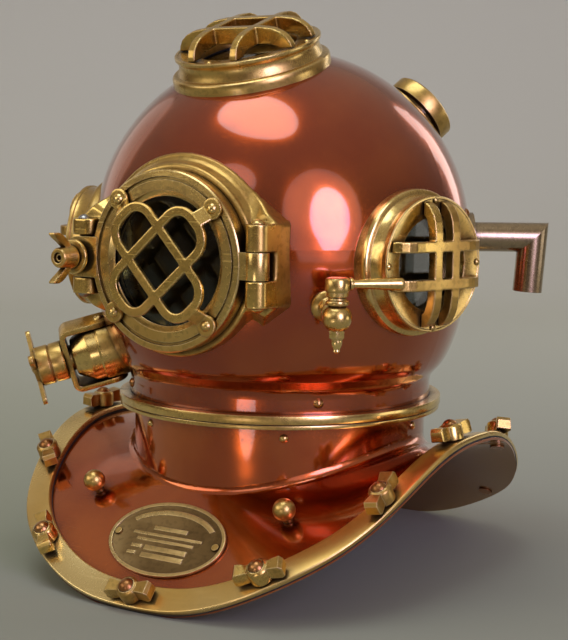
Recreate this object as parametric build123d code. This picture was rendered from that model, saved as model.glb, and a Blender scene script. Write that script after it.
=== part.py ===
from build123d import *
import os
from math import asin, cos, degrees, hypot, radians, sin, sqrt

# Deep-sea diving helmet, standing on the front and back lobes of its breastplate.
# Z is up, the face window looks along -Y and the wearer's left is +X.
# The origin is on the neck axis, on the surface that the breastplate stands on.
# All sizes are in millimetres and all angles in degrees.

# Bonnet
dome_radius = 160
dome_centre_height = 276
copper_wall = 2
bonnet_neck_radius = 129
bonnet_neck_height = 156
# Points of the lower bulge: depth under the dome's centre and radius, both as shares of the dome's radius.
bulge_shares = ((0.43, 0.956), (0.56, 0.913), (0.66, 0.855))

# Neck joint: an interrupted thread of lugs, released by an eighth of a turn
neck_ring_radius = 138.5
neck_ring_top = 145
bonnet_ring_height = 7
ring_shelf = 2
gasket_height = 1
seat_ring_height = 3
neck_opening_radius = 110.5
lug_skirt_wall = 4
lug_reach = 3.7
lug_height = 8
lug_count = 4
lug_angle = 41
lug_play = 0.4
skirt_depth = 29
gasket_inset = 2.5
gasket_width = 14
strap_gasket_thickness = 1
strap_gasket_bevel = 0.1

# Breastplate
collar_radius = 125.3
collar_fillet = 8
junction_height = 91
junction_swing = 14.5
rim_half_width = 190
rim_half_depth = 208
rim_squareness = 2.6
rim_crest_height = 120
rim_right_sag = 10
# Height of the rim as shares of the crest, for one, two and three waves per half turn.
rim_wave_shares = (0.93, -0.09, 0.07)
foot_flat_depth = 1.5
section_step = 7.5

# Brail straps, studs and wing nuts
strap_width = 22
strap_thickness = 4.5
strap_chamfer = 1
strap_joint_azimuth = 97
strap_end_gap = 0.6
seat_gap = 0.3
stud_azimuths = (0, 30, 57, 83, 112, 145, 180, -145, -112, -83, -57, -30)
stud_radius = 6
stud_hole_play = 0.15
stud_tail = 3.4
stud_dome_height = 3.6
nut_height = 13.5
nut_boss_radius = 8.7
nut_seat_gap = 0.4
nut_chamfer = 0.8
wing_span = 40
wing_width = 10.5
wing_lift = 2.2
wing_toe = 1.5
# How far each wing nut stands turned from the line of its strap.
nut_turns = (6, -14, 22, -8, 30, -20, 12, -32, 18, -10, 26, -16)

# Breastplate fittings
ball_radius = 9
ball_neck_radius = 4
ball_azimuth = 35
ball_inset = 66
ball_lift = 2.5
plate_half_length = 54
plate_half_width = 34
plate_thickness = 1.8
plate_border = 3
plate_border_height = 1
plate_inset = 65
plate_rivet_radius = 3
plate_rivet_inset = 7
plate_reach = 30
plate_bar_length = 40
plate_bar_width = 4.5
plate_bar_pitch = 7
plate_bar_drop = -17
plate_bar_height = 0.6
plate_bevel = 0.05
plate_slab_azimuth = 26
plate_slab_margin = 5
collar_rivet_count = 6
collar_rivet_azimuth = 34
collar_rivet_radius = 3.6
collar_rivet_drop = 9
neck_rivet_count = 4
neck_rivet_azimuth = 46
neck_rivet_radius = 4.2
neck_rivet_rise = 8.5
rivet_flatness_share = 0.62
rivet_play = 0.05

# Windows
window_height = 265
side_window_azimuth = 73.6
top_window_tilt = 19.5
face_seat = 156.6
face_frame_radius = 75
face_frame_chamfer = 1.5
face_bore_radius = 56
door_radius = 70.4
door_thickness = 12
door_seat_gap = 0.8
door_lip_radius = 65
door_groove = 2
door_groove_width = 2.4
door_face_inner_radius = 54.5
door_opening_radius = 50
door_bevel = 4
door_edge_chamfer = 1
door_pocket_radius = 55.3
glass_play = 0.3
glass_thickness = 4.6
glass_gasket_thickness = 0.8
retainer_thickness = 2.4
door_gasket_width = 5
door_gasket_inset = 1
door_gasket_thickness = 0.6

# Door guard: two crossed loops of flat bar
loop_half_length = 49
loop_half_width = 21.5
loop_corner = 18
loop_bar = 5.5
loop_thickness = 3.2
loop_standoff = 6.5
loop_angle = 45
tab_width = 12
tab_thickness = 3
tab_turn = -3
guard_screw_circle = 62.6
guard_screw_radius = 4.3
guard_shank_radius = 2
guard_shank_length = 9

# Hinge
hinge_x = 81.5
hinge_y = 162
knuckle_radius = 9
knuckle_height = 20.6
knuckle_gap = 0.4
hinge_pin_radius = 4
running_play = 0.05
pin_head_radius = 5.4
pin_head_height = 3
pin_chamfer = 0.8
hinge_block_front = 152.4
hinge_arm_depth = 11.5

# Latch: a captive wing bolt in the door's lug, screwed into the frame's block
latch_x = 84
latch_boss_radius = 16
latch_boss_height = 12.6
latch_boss_play = 1
latch_block_width = 22
latch_block_height = 60
latch_ear_front = 168
latch_ear_round = 7
bolt_radius = 5
bolt_travel = 4
bolt_tip_gap = 0.5
bolt_hole_depth = 5.5
bolt_stem_radius = 4
washer_radius = 13.8
washer_thickness = 3.2
wing_barrel_radius = 8.4
wing_barrel_height = 16.6
wing_barrel_gap = 0.3
stem_button_radius = 5.4
stem_button_height = 1.6
ear_reach = 20.5
ear_thickness = 5.5
ear_root_width = 14
ear_tip_width = 9
ear_round = 2
latch_pin_radius = 3
latch_pin_length = 12
latch_pin_head_radius = 5
latch_pin_head_height = 3.2

# Side and top windows
side_face = 178.8
side_flange_radius = 57.7
side_flange_height = 22.8
frame_root_depth = 52
side_waist_radius = 50.5
cove_inset = 3.2
side_rim_radius = 52.7
side_rim_height = 6
side_rim_land = 5.7
side_opening_radius = 36
side_cone_depth = 10.5
seat_wall = 2.3
window_gasket_thickness = 1.2
window_gasket_width = 4.5
side_pocket_radius = 43.3
window_glass_thickness = 8
window_retainer_thickness = 4.5
window_retainer_width = 5
side_bar_width = 6.5
side_bar_offsets = (9.6, 14.5)
side_guard_height = 14
top_face = 171
top_flange_radius = 65.5
top_flange_height = 17.5
top_waist_radius = 58
top_rim_radius = 60.4
top_rim_height = 5
top_rim_land = 12
top_opening_radius = 40
top_cone_depth = 7
top_pocket_radius = 46
top_bar_width = 7
top_bar_offsets = (20, 16)
top_guard_height = 19
guard_foot_inset = 3.5
guard_foot_length = 9
guard_undercut = 4
guard_step = 1.2
# Outline of a guard bar: shoulder and crown as shares of its half length and height.
bar_shoulder_shares = (0.9, 0.58)
bar_crown_shares = (0.62, 0.93)
small_screw_radius = 2.7
small_screw_inset = 3.4
small_shank_radius = 1.4
small_shank_length = 4

# Exhaust valve
exhaust_azimuth = -52
exhaust_slope = 16
exhaust_height = 223.7
exhaust_body_radius = 21.8
exhaust_body_end = 176
exhaust_body_chamfer = 4
exhaust_bore_radius = 14
exhaust_end_wall = 3
exhaust_collar_radius = 24.5
exhaust_collar_end = 162
guide_low = 158
guide_thickness = 5
guide_hole_count = 4
guide_hole_radius = 3.2
guide_hole_circle = 8.4
yoke_gap = 11
yoke_hub_radius = 11
yoke_plate_thickness = 4.5
yoke_half_height = 29
yoke_width = 24
yoke_arm_length = 33
yoke_foot_round = 8
barrel_radius = 17
barrel_height = 24
barrel_groove = 1.2
barrel_chamfer = 1
handle_span = 66
handle_bar = 9
handle_hub_radius = 14
handle_turn = 20
handle_thickness = 3.6
spindle_radius = 4
spindle_cap_radius = 6.5
spindle_cap_height = 2.5
chin_disc_radius = 12.5
chin_disc_thickness = 3
chin_stem_radius = 3
chin_button_radius = 12
chin_button_thickness = 4
chin_button_low = 130
yoke_screw_radius = 2.5
yoke_screw_head_radius = 4.5
yoke_screw_seat = 159
yoke_screw_depth = 5

# Spitcock
spit_azimuth = 45
spit_slope = 10
spit_flange_end = 163
spit_ring_low = 170
spit_reach = 190
spit_ball_height = 228
spit_ball_radius = 10.2
spit_neck_radius = 5.6
spit_ring_radius = 8.2
spit_ring_thickness = 3
spit_flange_radius = 12
spit_collar_radius = 6.6
spit_collar_height = 5
spit_spindle_radius = 3.6
spit_cap_radius = 9
spit_cap_height = 14.5
spit_cap_chamfer = 1.6
spit_gap = 0.4
spit_nut_radius = 6
spit_nut_height = 5
spit_tip_radius = 3.8
spit_tip_height = 6
lever_azimuth = 135
lever_drop = 5
lever_collar_start = 8
lever_length = 46
lever_root_radius = 2.8
lever_end_radius = 5.2
lever_collar_radius = 4.6
lever_collar_length = 3

# Air and telephone goosenecks
gooseneck_azimuth = 125
gooseneck_height = 279
gooseneck_reach = 217
gooseneck_leg = 47
gooseneck_lean = 4
gooseneck_radius = 12.7
gooseneck_bore_radius = 9.5
gooseneck_flange_radius = 21
gooseneck_flange_end = 164
bore_stretch = 1.4
hose_socket_radius = 10.5
hose_socket_depth = 14
gooseneck_root = 140

# Telephone cap
cap_azimuth = 144
cap_elevation = 41
cap_neck_radius = 25
cap_radius = 31.5
cap_base = 164
cap_top = 178
cap_chamfer = 1.6
dome_rivet_azimuth = 108
dome_rivet_elevation = 9

overrun = 20


strap_low = strap_gasket_thickness + seat_gap
hinge_stack = 3 * knuckle_height + 2 * knuckle_gap
latch_pin_level = (face_seat + latch_ear_front) / 2
yoke_screw_length = yoke_half_height - exhaust_body_radius + yoke_screw_depth


def turned(points):
    """Turns a closed outline of (radius, height) points about the local Z axis."""
    outline = Polyline(*[(radius, 0, height) for radius, height in points], close=True)
    return revolve(make_face(outline), Axis.Z)


def ring(outer, inner, low, high):
    """A plain ring between two heights."""
    return turned([(inner, low), (outer, low), (outer, high), (inner, high)])


def disc(radius, low, high):
    """A round bar along the local Z axis between two heights."""
    return Pos(0, 0, low) * Cylinder(radius, high - low, align=(Align.CENTER, Align.CENTER, Align.MIN))


def chamfered_disc(radius, low, high, chamfer_size):
    """A round bar with its outer end chamfered."""
    return turned(
        [(0, low), (radius, low), (radius, high - chamfer_size), (radius - chamfer_size, high), (0, high)]
    )


def block(x_low, x_high, y_low, y_high, z_low, z_high):
    """A box between two corners."""
    size = Box(x_high - x_low, y_high - y_low, z_high - z_low, align=(Align.MIN, Align.MIN, Align.MIN))
    return Pos(x_low, y_low, z_low) * size


def domed(radius, low, height):
    """A spherical cap that stands on the height low."""
    sphere_radius = (radius**2 + height**2) / (2 * height)
    half_angle = asin(min(1, radius / sphere_radius)) / 2
    middle = (
        sphere_radius * sin(half_angle),
        0,
        low + height - sphere_radius + sphere_radius * cos(half_angle),
    )
    edges = [
        Line((0, 0, low), (radius, 0, low)),
        ThreePointArc((radius, 0, low), middle, (0, 0, low + height)),
        Line((0, 0, low + height), (0, 0, low)),
    ]
    return revolve(make_face(edges), Axis.Z)


def heading(azimuth):
    """Unit vector in the ground plane, from the front (-Y) towards the wearer's left (+X)."""
    return Vector(sin(radians(azimuth)), -cos(radians(azimuth)), 0)


def outward(origin, azimuth, elevation):
    """Places a local frame with its Z axis pointing outward and its Y axis upward."""
    level = heading(azimuth)
    axis = level * cos(radians(elevation)) + Vector(0, 0, sin(radians(elevation)))
    side = Vector(-level.Y, level.X, 0)
    return Plane(origin=origin, x_dir=side, z_dir=axis).location


def spread(count, start):
    """Evenly spaced azimuths round the neck axis."""
    return [start + 360 * index / count for index in range(count)]


def bonnet_edges(inset):
    """Half section of the bonnet from the pole to the neck's lower edge."""
    radius = dome_radius - inset
    neck_low = neck_ring_top - bonnet_ring_height + ring_shelf
    pole = (0, 0, dome_centre_height + radius)
    shoulder = (radius * sin(radians(45)), 0, dome_centre_height + radius * cos(radians(45)))
    equator = (radius, 0, dome_centre_height)
    neck_high = (bonnet_neck_radius - inset, 0, bonnet_neck_height)
    bulge = [
        (share_out * dome_radius - inset, 0, dome_centre_height - share_down * dome_radius)
        for share_down, share_out in bulge_shares
    ]
    return [
        ThreePointArc(pole, shoulder, equator),
        Spline(equator, *bulge, neck_high, tangents=[(0, 0, -1), (0, 0, -1)]),
        Line(neck_high, (bonnet_neck_radius - inset, 0, neck_low)),
    ]


def bonnet_solid(inset):
    """The bonnet's outline as a full body of revolution."""
    neck_low = neck_ring_top - bonnet_ring_height + ring_shelf
    closing = [
        Line((bonnet_neck_radius - inset, 0, neck_low), (0, 0, neck_low)),
        Line((0, 0, neck_low), (0, 0, dome_centre_height + dome_radius - inset)),
    ]
    return revolve(make_face(bonnet_edges(inset) + closing), Axis.Z)


def rim_radius(azimuth):
    """Distance of the breastplate's rim from the neck axis."""
    across = abs(sin(radians(azimuth))) / rim_half_width
    along = abs(cos(radians(azimuth))) / rim_half_depth
    return (across**rim_squareness + along**rim_squareness) ** (-1 / rim_squareness)


def rim_height(azimuth):
    """Height of the rim's underside, low at the lobes and high over the shoulders, less on the right."""
    across = rim_radius(azimuth) * abs(sin(radians(azimuth))) / rim_half_width
    angle = asin(min(1, across ** (rim_squareness / 2)))
    waves = [
        share * (1 - cos(2 * (index + 1) * angle)) / 2 for index, share in enumerate(rim_wave_shares)
    ]
    sag = rim_right_sag * max(0, -sin(radians(azimuth))) ** 3
    return rim_crest_height * sum(waves) - foot_flat_depth - sag


def flange_line(azimuth):
    """Rim underside point, unit direction outward and the slope's normal, in one radial plane."""
    rim = (rim_radius(azimuth), rim_height(azimuth))
    foot = junction_height - junction_swing * cos(radians(2 * azimuth))
    run, rise = rim[0] - collar_radius, rim[1] - foot
    length = hypot(run, rise)
    return rim, (run / length, rise / length), (-rise / length, run / length), length


def radial_point(azimuth, radius, height):
    """A point in a radial plane."""
    return heading(azimuth) * radius + Vector(0, 0, height)


def flange_point(azimuth, inset, lift):
    """A point over the breastplate's upper skin, an inset from the rim and a lift off the skin."""
    rim, along, normal, _ = flange_line(azimuth)
    lift = lift + copper_wall
    return radial_point(
        azimuth,
        rim[0] - inset * along[0] + lift * normal[0],
        rim[1] - inset * along[1] + lift * normal[1],
    )


def flange_frame(azimuth, inset, lift, turn=0):
    """A local frame on the breastplate's skin with its Z axis square to the skin."""
    step = 1
    origin = flange_point(azimuth, inset, lift)
    along = flange_point(azimuth + step, inset, lift) - flange_point(azimuth - step, inset, lift)
    across = flange_point(azimuth, 0, lift) - origin
    normal = across.cross(along)
    if normal.Z < 0:
        normal = normal * -1
    plane = Plane(origin=origin, x_dir=along.normalized(), z_dir=normal.normalized())
    return plane.location * Rot(0, 0, turn)


def shell_section(azimuth):
    """Closed radial section of the breastplate: collar, rolled corner and flange."""
    rim, along, _, _ = flange_line(azimuth)
    slope = along[1] / along[0]
    skin = copper_wall / along[0]
    turn = radians(90) + asin(along[1])
    collar_top = neck_ring_top - bonnet_ring_height - gasket_height
    corner = rim[1] - slope * (rim[0] - collar_radius)
    inside_radius = collar_radius - copper_wall

    def rolled(corner_radius, corner_height, fillet_radius):
        reach = fillet_radius * sin(turn / 2) / cos(turn / 2)
        centre = (corner_radius + fillet_radius, corner_height + reach)
        high = (corner_radius, corner_height + reach)
        low = (corner_radius + reach * along[0], corner_height + reach * along[1])
        middle_angle = turn / 2
        middle = (
            centre[0] - fillet_radius * cos(middle_angle),
            centre[1] - fillet_radius * sin(middle_angle),
        )
        return high, middle, low

    outer = rolled(collar_radius, corner + skin, collar_fillet)
    inner = rolled(inside_radius, corner - slope * copper_wall, collar_fillet + copper_wall)

    def spot(point):
        return radial_point(azimuth, *point)

    rim_top = (rim[0], rim[1] + skin)
    edges = [
        Line(spot((collar_radius, collar_top)), spot(outer[0])),
        ThreePointArc(*[spot(point) for point in outer]),
        Line(spot(outer[2]), spot(rim_top)),
        Line(spot(rim_top), spot(rim)),
        Line(spot(rim), spot(inner[2])),
        ThreePointArc(*[spot(point) for point in reversed(inner)]),
        Line(spot(inner[0]), spot((inside_radius, collar_top))),
        Line(spot((inside_radius, collar_top)), spot((collar_radius, collar_top))),
    ]
    return Wire(edges)


def azimuth_steps(start, end):
    """Section azimuths between two ends, about one section step apart."""
    count = max(2, round((end - start) / section_step))
    return [start + (end - start) * index / count for index in range(count + 1)]


def breastplate_shell():
    """Copper saddle in two mirrored halves, ground flat where the lobes stand."""
    half = Solid.make_loft([shell_section(azimuth) for azimuth in azimuth_steps(-90, 90)])
    shell = Part() + half + mirror(half, Plane.XZ)
    reach = rim_half_width + rim_half_depth
    shell -= block(-reach, reach, -reach, reach, -overrun, 0)
    holes = [
        flange_frame(azimuth, strap_width / 2, 0) * disc(stud_radius + stud_hole_play, -overrun, overrun)
        for azimuth in stud_azimuths
    ]
    return shell - holes


def strap(start, end, inset_low, inset_high, low, high, bevel):
    """A band that follows the breastplate's skin between two azimuths."""
    sections = []
    for azimuth in azimuth_steps(start, end):
        corners = [
            flange_point(azimuth, inset_low, low),
            flange_point(azimuth, inset_low, high - bevel),
            flange_point(azimuth, inset_low + bevel, high),
            flange_point(azimuth, inset_high - bevel, high),
            flange_point(azimuth, inset_high, high - bevel),
            flange_point(azimuth, inset_high, low),
        ]
        sections.append(Wire(Polyline(*corners, close=True).edges()))
    return Solid.make_loft(sections)


def brail(start, end):
    """One brass brail strap with clearance holes over the studs."""
    inset = degrees(strap_end_gap / 2 / rim_half_width)
    band = strap(
        start + inset, end - inset, 0, strap_width, strap_low, strap_low + strap_thickness, strap_chamfer
    )
    holes = [
        flange_frame(azimuth, strap_width / 2, 0)
        * disc(stud_radius + 2 * stud_hole_play, -overrun, overrun)
        for azimuth in stud_azimuths
    ]
    return Part() + band - holes


def stud():
    """Copper stud, peened under the skin and domed above the nut."""
    top = strap_low + strap_thickness + nut_seat_gap + nut_height
    return disc(stud_radius, -stud_tail, top) + domed(stud_radius, top, stud_dome_height)


def wing_nut():
    """Brass wing nut with a round boss and two block wings."""
    low = strap_low + strap_thickness + nut_seat_gap
    high = low + nut_height
    boss = chamfered_disc(nut_boss_radius, low, high, nut_chamfer)
    root = nut_boss_radius / 2
    tip = wing_span / 2
    outline = [
        (root, 0, low + wing_lift),
        (tip - wing_toe, 0, low + wing_lift),
        (tip, 0, low + wing_lift + wing_toe),
        (tip - wing_toe, 0, high),
        (root, 0, high),
    ]
    wing = extrude(make_face(Polyline(*outline, close=True)), wing_width / 2, both=True)
    body = boss + wing + Rot(0, 0, 180) * wing
    return body - disc(stud_radius + stud_hole_play, low - overrun, high + overrun)


def group(pieces):
    """Keeps like pieces together in one node as separate solids."""
    return Compound(children=[solid for piece in pieces for solid in piece.solids()])


def breastplate_neck_ring():
    """Brass seat ring on the collar with inward lugs."""
    top = neck_ring_top - bonnet_ring_height - gasket_height
    flange_low = top - seat_ring_height
    bore = neck_opening_radius + lug_skirt_wall + lug_play
    liner_inner = bore + lug_reach + lug_play
    liner_outer = collar_radius - copper_wall - seat_gap / 2
    liner_low = neck_ring_top - skirt_depth - lug_play
    lug_low = top - lug_height - lug_play
    body = turned(
        [
            (liner_inner, liner_low),
            (liner_outer, liner_low),
            (liner_outer, top),
            (liner_inner, top),
        ]
    )
    body += ring(neck_ring_radius - copper_wall / 2, collar_radius + seat_gap / 2, flange_low, top)
    body += ring(neck_ring_radius - copper_wall / 2, liner_inner, top, top + seat_gap)
    lugs = lug_segments(liner_inner + seat_gap, bore, lug_low, top, 0)
    return body + lugs


def lug_segments(outer, inner, low, high, start):
    """Segments of the interrupted thread."""
    outline = make_face(
        Polyline((inner, 0, low), (outer, 0, low), (outer, 0, high), (inner, 0, high), close=True)
    )
    segment = revolve(outline, Axis.Z, lug_angle)
    return [
        Rot(0, 0, start + 360 * index / lug_count - lug_angle / 2) * segment for index in range(lug_count)
    ]


def bonnet_neck_ring():
    """Brass ring brazed round the bonnet's neck, with a skirt and outward lugs."""
    low = neck_ring_top - bonnet_ring_height
    skirt_outer = neck_opening_radius + lug_skirt_wall
    skirt_low = neck_ring_top - skirt_depth
    lug_top = low - gasket_height - lug_height - 2 * lug_play
    inner = bonnet_neck_radius
    body = turned(
        [
            (neck_opening_radius, skirt_low),
            (skirt_outer, skirt_low),
            (skirt_outer, low),
            (neck_ring_radius, low),
            (neck_ring_radius, neck_ring_top),
            (inner, neck_ring_top),
            (inner, low + copper_wall),
            (neck_opening_radius, low + copper_wall),
        ]
    )
    lugs = lug_segments(skirt_outer + lug_reach, skirt_outer - seat_gap, skirt_low, lug_top, 0)
    return body + lugs

def rivets(azimuths, wall_radius, height, radius):
    """Domed rivet heads on an upright wall."""
    return group(
        [
            outward((0, 0, height), azimuth, 0)
            * domed(radius, wall_radius + rivet_play, radius * rivet_flatness_share)
            for azimuth in azimuths
        ]
    )


def face_frame():
    """Brass barrel of the face window with its hinge and latch blocks."""
    place = outward((0, 0, window_height), 0, 0)
    front = face_seat
    barrel = chamfered_disc(face_frame_radius, 0, front, face_frame_chamfer)
    hinge_low = -hinge_stack / 2
    hinge_high = hinge_stack / 2
    frame_x = (hinge_x - knuckle_radius, hinge_x + knuckle_radius)
    body = barrel + block(0, frame_x[1], hinge_low, hinge_high, 0, hinge_block_front)
    for low in (hinge_low, hinge_high - knuckle_height):
        body += block(*frame_x, low, low + knuckle_height, 0, hinge_y)
        body += Pos(hinge_x, low, hinge_y) * Rot(-90, 0, 0) * disc(knuckle_radius, 0, knuckle_height)
    half = latch_block_height / 2
    latch_low = -latch_x - latch_block_width / 2
    latch_high = -latch_x + latch_block_width / 2
    body += block(latch_low, 0, -half, half, 0, front)
    gap = latch_boss_radius + latch_boss_play
    for low, high in ((-half, -gap), (gap, half)):
        ear = block(latch_low, latch_high, low, high, 0, latch_ear_front)
        upright = ear.edges().filter_by(Axis.Y).group_by(Axis.Z)[-1]
        body += fillet(upright, latch_ear_round)
    body -= disc(face_bore_radius, -overrun, front + overrun)
    body -= Pos(hinge_x, -overrun - hinge_stack, hinge_y) * Rot(-90, 0, 0) * disc(
        hinge_pin_radius, 0, overrun + hinge_stack + hinge_stack
    )
    body -= Pos(-latch_x, 0, 0) * disc(bolt_radius + running_play, front - bolt_hole_depth, front + overrun)
    for side in (-1, 1):
        body -= latch_pin_frame(side) * disc(latch_pin_radius, -latch_pin_length, overrun)
    return place * body - bonnet_solid(0)


def latch_pin_frame(side):
    """A frame on the outer end of a latch ear, in the face window's local frame."""
    turn = -90 if side > 0 else 90
    return Pos(-latch_x, side * latch_block_height / 2, latch_pin_level) * Rot(turn, 0, 0)


def hinge_pin():
    """Steel pin through the three knuckles with domed ends."""
    place = outward((0, 0, window_height), 0, 0) * Pos(hinge_x, 0, hinge_y) * Rot(-90, 0, 0)
    half = hinge_stack / 2
    pin = disc(hinge_pin_radius, -half, half)
    head = disc(pin_head_radius, half, half + pin_chamfer) + domed(
        pin_head_radius, half + pin_chamfer, pin_head_height
    )
    return place * (pin + head + Rot(180, 0, 0) * head)


def latch_pins():
    """Short domed pins in the ears of the latch."""
    place = outward((0, 0, window_height), 0, 0)
    head = domed(latch_pin_head_radius, 0, latch_pin_head_height)
    pin = disc(latch_pin_radius, -latch_pin_length, 0) + head
    return place * group([latch_pin_frame(side) * pin for side in (-1, 1)])


def door_ring():
    """Brass door ring with a raised lip, hinge knuckle and latch lug."""
    place = outward((0, 0, window_height), 0, 0)
    back = face_seat + door_seat_gap
    front = back + door_thickness
    lip = door_lip_radius
    pocket_depth = retainer_thickness + glass_thickness + glass_gasket_thickness
    body = turned(
        [
            (door_pocket_radius, back),
            (door_radius, back),
            (door_radius, front - door_edge_chamfer),
            (door_radius - door_edge_chamfer, front),
            (lip, front),
            (lip, front - door_groove),
            (lip - door_groove_width, front - door_groove),
            (lip - door_groove_width, front - door_groove / 2),
            (door_face_inner_radius, front - door_groove / 2),
            (door_opening_radius, front - door_bevel),
            (door_opening_radius, back + pocket_depth),
            (door_pocket_radius, back + pocket_depth),
        ]
    )
    half = knuckle_height / 2
    arm = block(lip, hinge_x, -half, half, back, back + hinge_arm_depth)
    knuckle = Pos(hinge_x, -half, hinge_y) * Rot(-90, 0, 0) * disc(knuckle_radius, 0, knuckle_height)
    lug = Pos(-latch_x, 0, 0) * disc(latch_boss_radius, back, back + latch_boss_height)
    neck = block(-latch_x, -lip, -latch_boss_radius, latch_boss_radius, back, back + latch_boss_height)
    body = body + arm + knuckle + lug + neck
    body -= Pos(hinge_x, -overrun, hinge_y) * Rot(-90, 0, 0) * disc(
        hinge_pin_radius + running_play, 0, 2 * overrun
    )
    body -= Pos(-latch_x, 0, 0) * disc(bolt_radius + running_play, back - overrun, front + overrun)
    for spot in guard_screw_frames():
        body -= spot * disc(guard_shank_radius, -guard_shank_length, overrun)
    return place * body


def guard_screw_frames():
    """Frames on top of the guard's tabs, in the face window's local frame."""
    top = face_seat + door_seat_gap + door_thickness + tab_thickness
    return [
        Rot(0, 0, loop_angle + tab_turn + index * 90) * Pos(guard_screw_circle, 0, top)
        for index in range(4)
    ]


def door_guard():
    """Two crossed loops of flat bar with a tab bent down at each end."""
    place = outward((0, 0, window_height), 0, 0)
    face = face_seat + door_seat_gap + door_thickness
    low = face + loop_standoff
    inner_half_length = loop_half_length - loop_bar
    inner_half_width = loop_half_width - loop_bar
    outer = RectangleRounded(2 * loop_half_length, 2 * loop_half_width, loop_corner)
    inner = RectangleRounded(2 * inner_half_length, 2 * inner_half_width, loop_corner - loop_bar)
    loop = Pos(0, 0, low) * extrude(outer - inner, loop_thickness)
    foot_end = guard_screw_circle + tab_width / 2
    foot_start = guard_screw_circle - tab_width / 2
    tab_outline = [
        (inner_half_length, 0, low + loop_thickness),
        (loop_half_length, 0, low + loop_thickness),
        (foot_start + tab_thickness / 2, 0, face + tab_thickness),
        (foot_end, 0, face + tab_thickness),
        (foot_end, 0, face),
        (foot_start, 0, face),
        (loop_half_length - tab_thickness / 2, 0, low),
        (inner_half_length, 0, low),
    ]
    tab = extrude(make_face(Polyline(*tab_outline, close=True)), tab_width / 2, both=True)
    crossed = Rot(0, 0, loop_angle + tab_turn) * loop + Rot(0, 0, loop_angle + tab_turn + 90) * loop
    for index in range(4):
        crossed += Rot(0, 0, loop_angle + tab_turn + index * 90) * tab
    for spot in guard_screw_frames():
        crossed -= spot * disc(guard_shank_radius, -overrun, overrun)
    return place * crossed


def guard_screws():
    """Round head screws of the door guard."""
    place = outward((0, 0, window_height), 0, 0)
    screw = disc(guard_shank_radius, -guard_shank_length, 0) + domed(
        guard_screw_radius, 0, guard_screw_radius * rivet_flatness_share
    )
    return place * group([spot * screw for spot in guard_screw_frames()])


def door_stack(name):
    """Glass, gasket and retaining ring of the door, from the front lip back."""
    place = outward((0, 0, window_height), 0, 0)
    back = face_seat + door_seat_gap
    glass_low = back + retainer_thickness
    glass_high = glass_low + glass_thickness
    radius = door_pocket_radius
    inner = radius - door_gasket_width
    pieces = {
        "glass": disc(radius - glass_play, glass_low, glass_high),
        "gasket": ring(radius - glass_play, inner, glass_high, glass_high + glass_gasket_thickness),
        "retainer": ring(radius, inner, back, glass_low),
    }
    return place * pieces[name]


def door_gasket():
    """Flat rubber seat between the frame and the door."""
    place = outward((0, 0, window_height), 0, 0)
    inner = face_bore_radius + door_gasket_inset
    return place * ring(inner + door_gasket_width, inner, face_seat, face_seat + door_gasket_thickness)


def latch_bolt_frame():
    """Frame of the latch bolt on the front of the door's lug."""
    front = face_seat + door_seat_gap + latch_boss_height
    return outward((0, 0, window_height), 0, 0) * Pos(-latch_x, 0, front)


def latch_bolt():
    """Captive bolt with its washer and the round post that carries the wing nut."""
    washer_low = bolt_travel + wing_barrel_gap
    washer_high = washer_low + washer_thickness
    top = washer_high + wing_barrel_gap + wing_barrel_height + wing_barrel_gap
    tip = -(door_seat_gap + latch_boss_height) + bolt_tip_gap
    body = disc(bolt_radius, tip, washer_low) + disc(washer_radius, washer_low, washer_high)
    body += disc(bolt_stem_radius, washer_high, top)
    body += disc(stem_button_radius, top, top + stem_button_height)
    return latch_bolt_frame() * body


def latch_wing_nut():
    """Wing nut on the latch bolt, with two upright ears."""
    low = bolt_travel + wing_barrel_gap + washer_thickness + wing_barrel_gap
    high = low + wing_barrel_height
    barrel = chamfered_disc(wing_barrel_radius, low, high, nut_chamfer)
    root = ear_root_width / 2
    tip = ear_tip_width / 2
    middle = (low + high) / 2
    outline = [
        (0, 0, middle - root),
        (wing_barrel_radius, 0, middle - root),
        (ear_reach - tip, 0, middle + wing_lift - tip),
        (ear_reach, 0, middle + wing_lift),
        (ear_reach - tip, 0, middle + wing_lift + tip),
        (wing_barrel_radius, 0, middle + root),
        (0, 0, middle + root),
    ]
    flat = make_face(Polyline(*outline, close=True))
    ear = extrude(fillet(flat.vertices().sort_by(Axis.X)[-3:], ear_round), ear_thickness / 2, both=True)
    body = barrel + Rot(0, 0, 90) * ear + Rot(0, 0, -90) * ear
    return latch_bolt_frame() * (body - disc(bolt_stem_radius + running_play, low - overrun, high + overrun))


def window_place(side):
    """Local frame of the left, right or top window."""
    if side == "top":
        return outward((0, 0, dome_centre_height), 0, 90 - top_window_tilt)
    turn = side_window_azimuth if side == "left" else -side_window_azimuth
    return outward((0, 0, window_height), turn, 0)


def window_sizes(side):
    """Sizes of one round window: the side pair and the top one differ."""
    if side == "top":
        return dict(
            face=top_face,
            flange=(top_flange_radius, top_face - top_flange_height),
            waist=top_waist_radius,
            rim=(top_rim_radius, top_rim_height, top_rim_land),
            opening=(top_opening_radius, top_cone_depth),
            pocket=top_pocket_radius,
            bars=(top_bar_width, top_bar_offsets, top_guard_height),
        )
    return dict(
        face=side_face,
        flange=(side_flange_radius, side_face - side_flange_height),
        waist=side_waist_radius,
        rim=(side_rim_radius, side_rim_height, side_rim_land),
        opening=(side_opening_radius, side_cone_depth),
        pocket=side_pocket_radius,
        bars=(side_bar_width, side_bar_offsets, side_guard_height),
    )


def pocket_top(size):
    """Height of the seat that the glass is held against."""
    return size["face"] - size["opening"][1] - seat_wall


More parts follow.
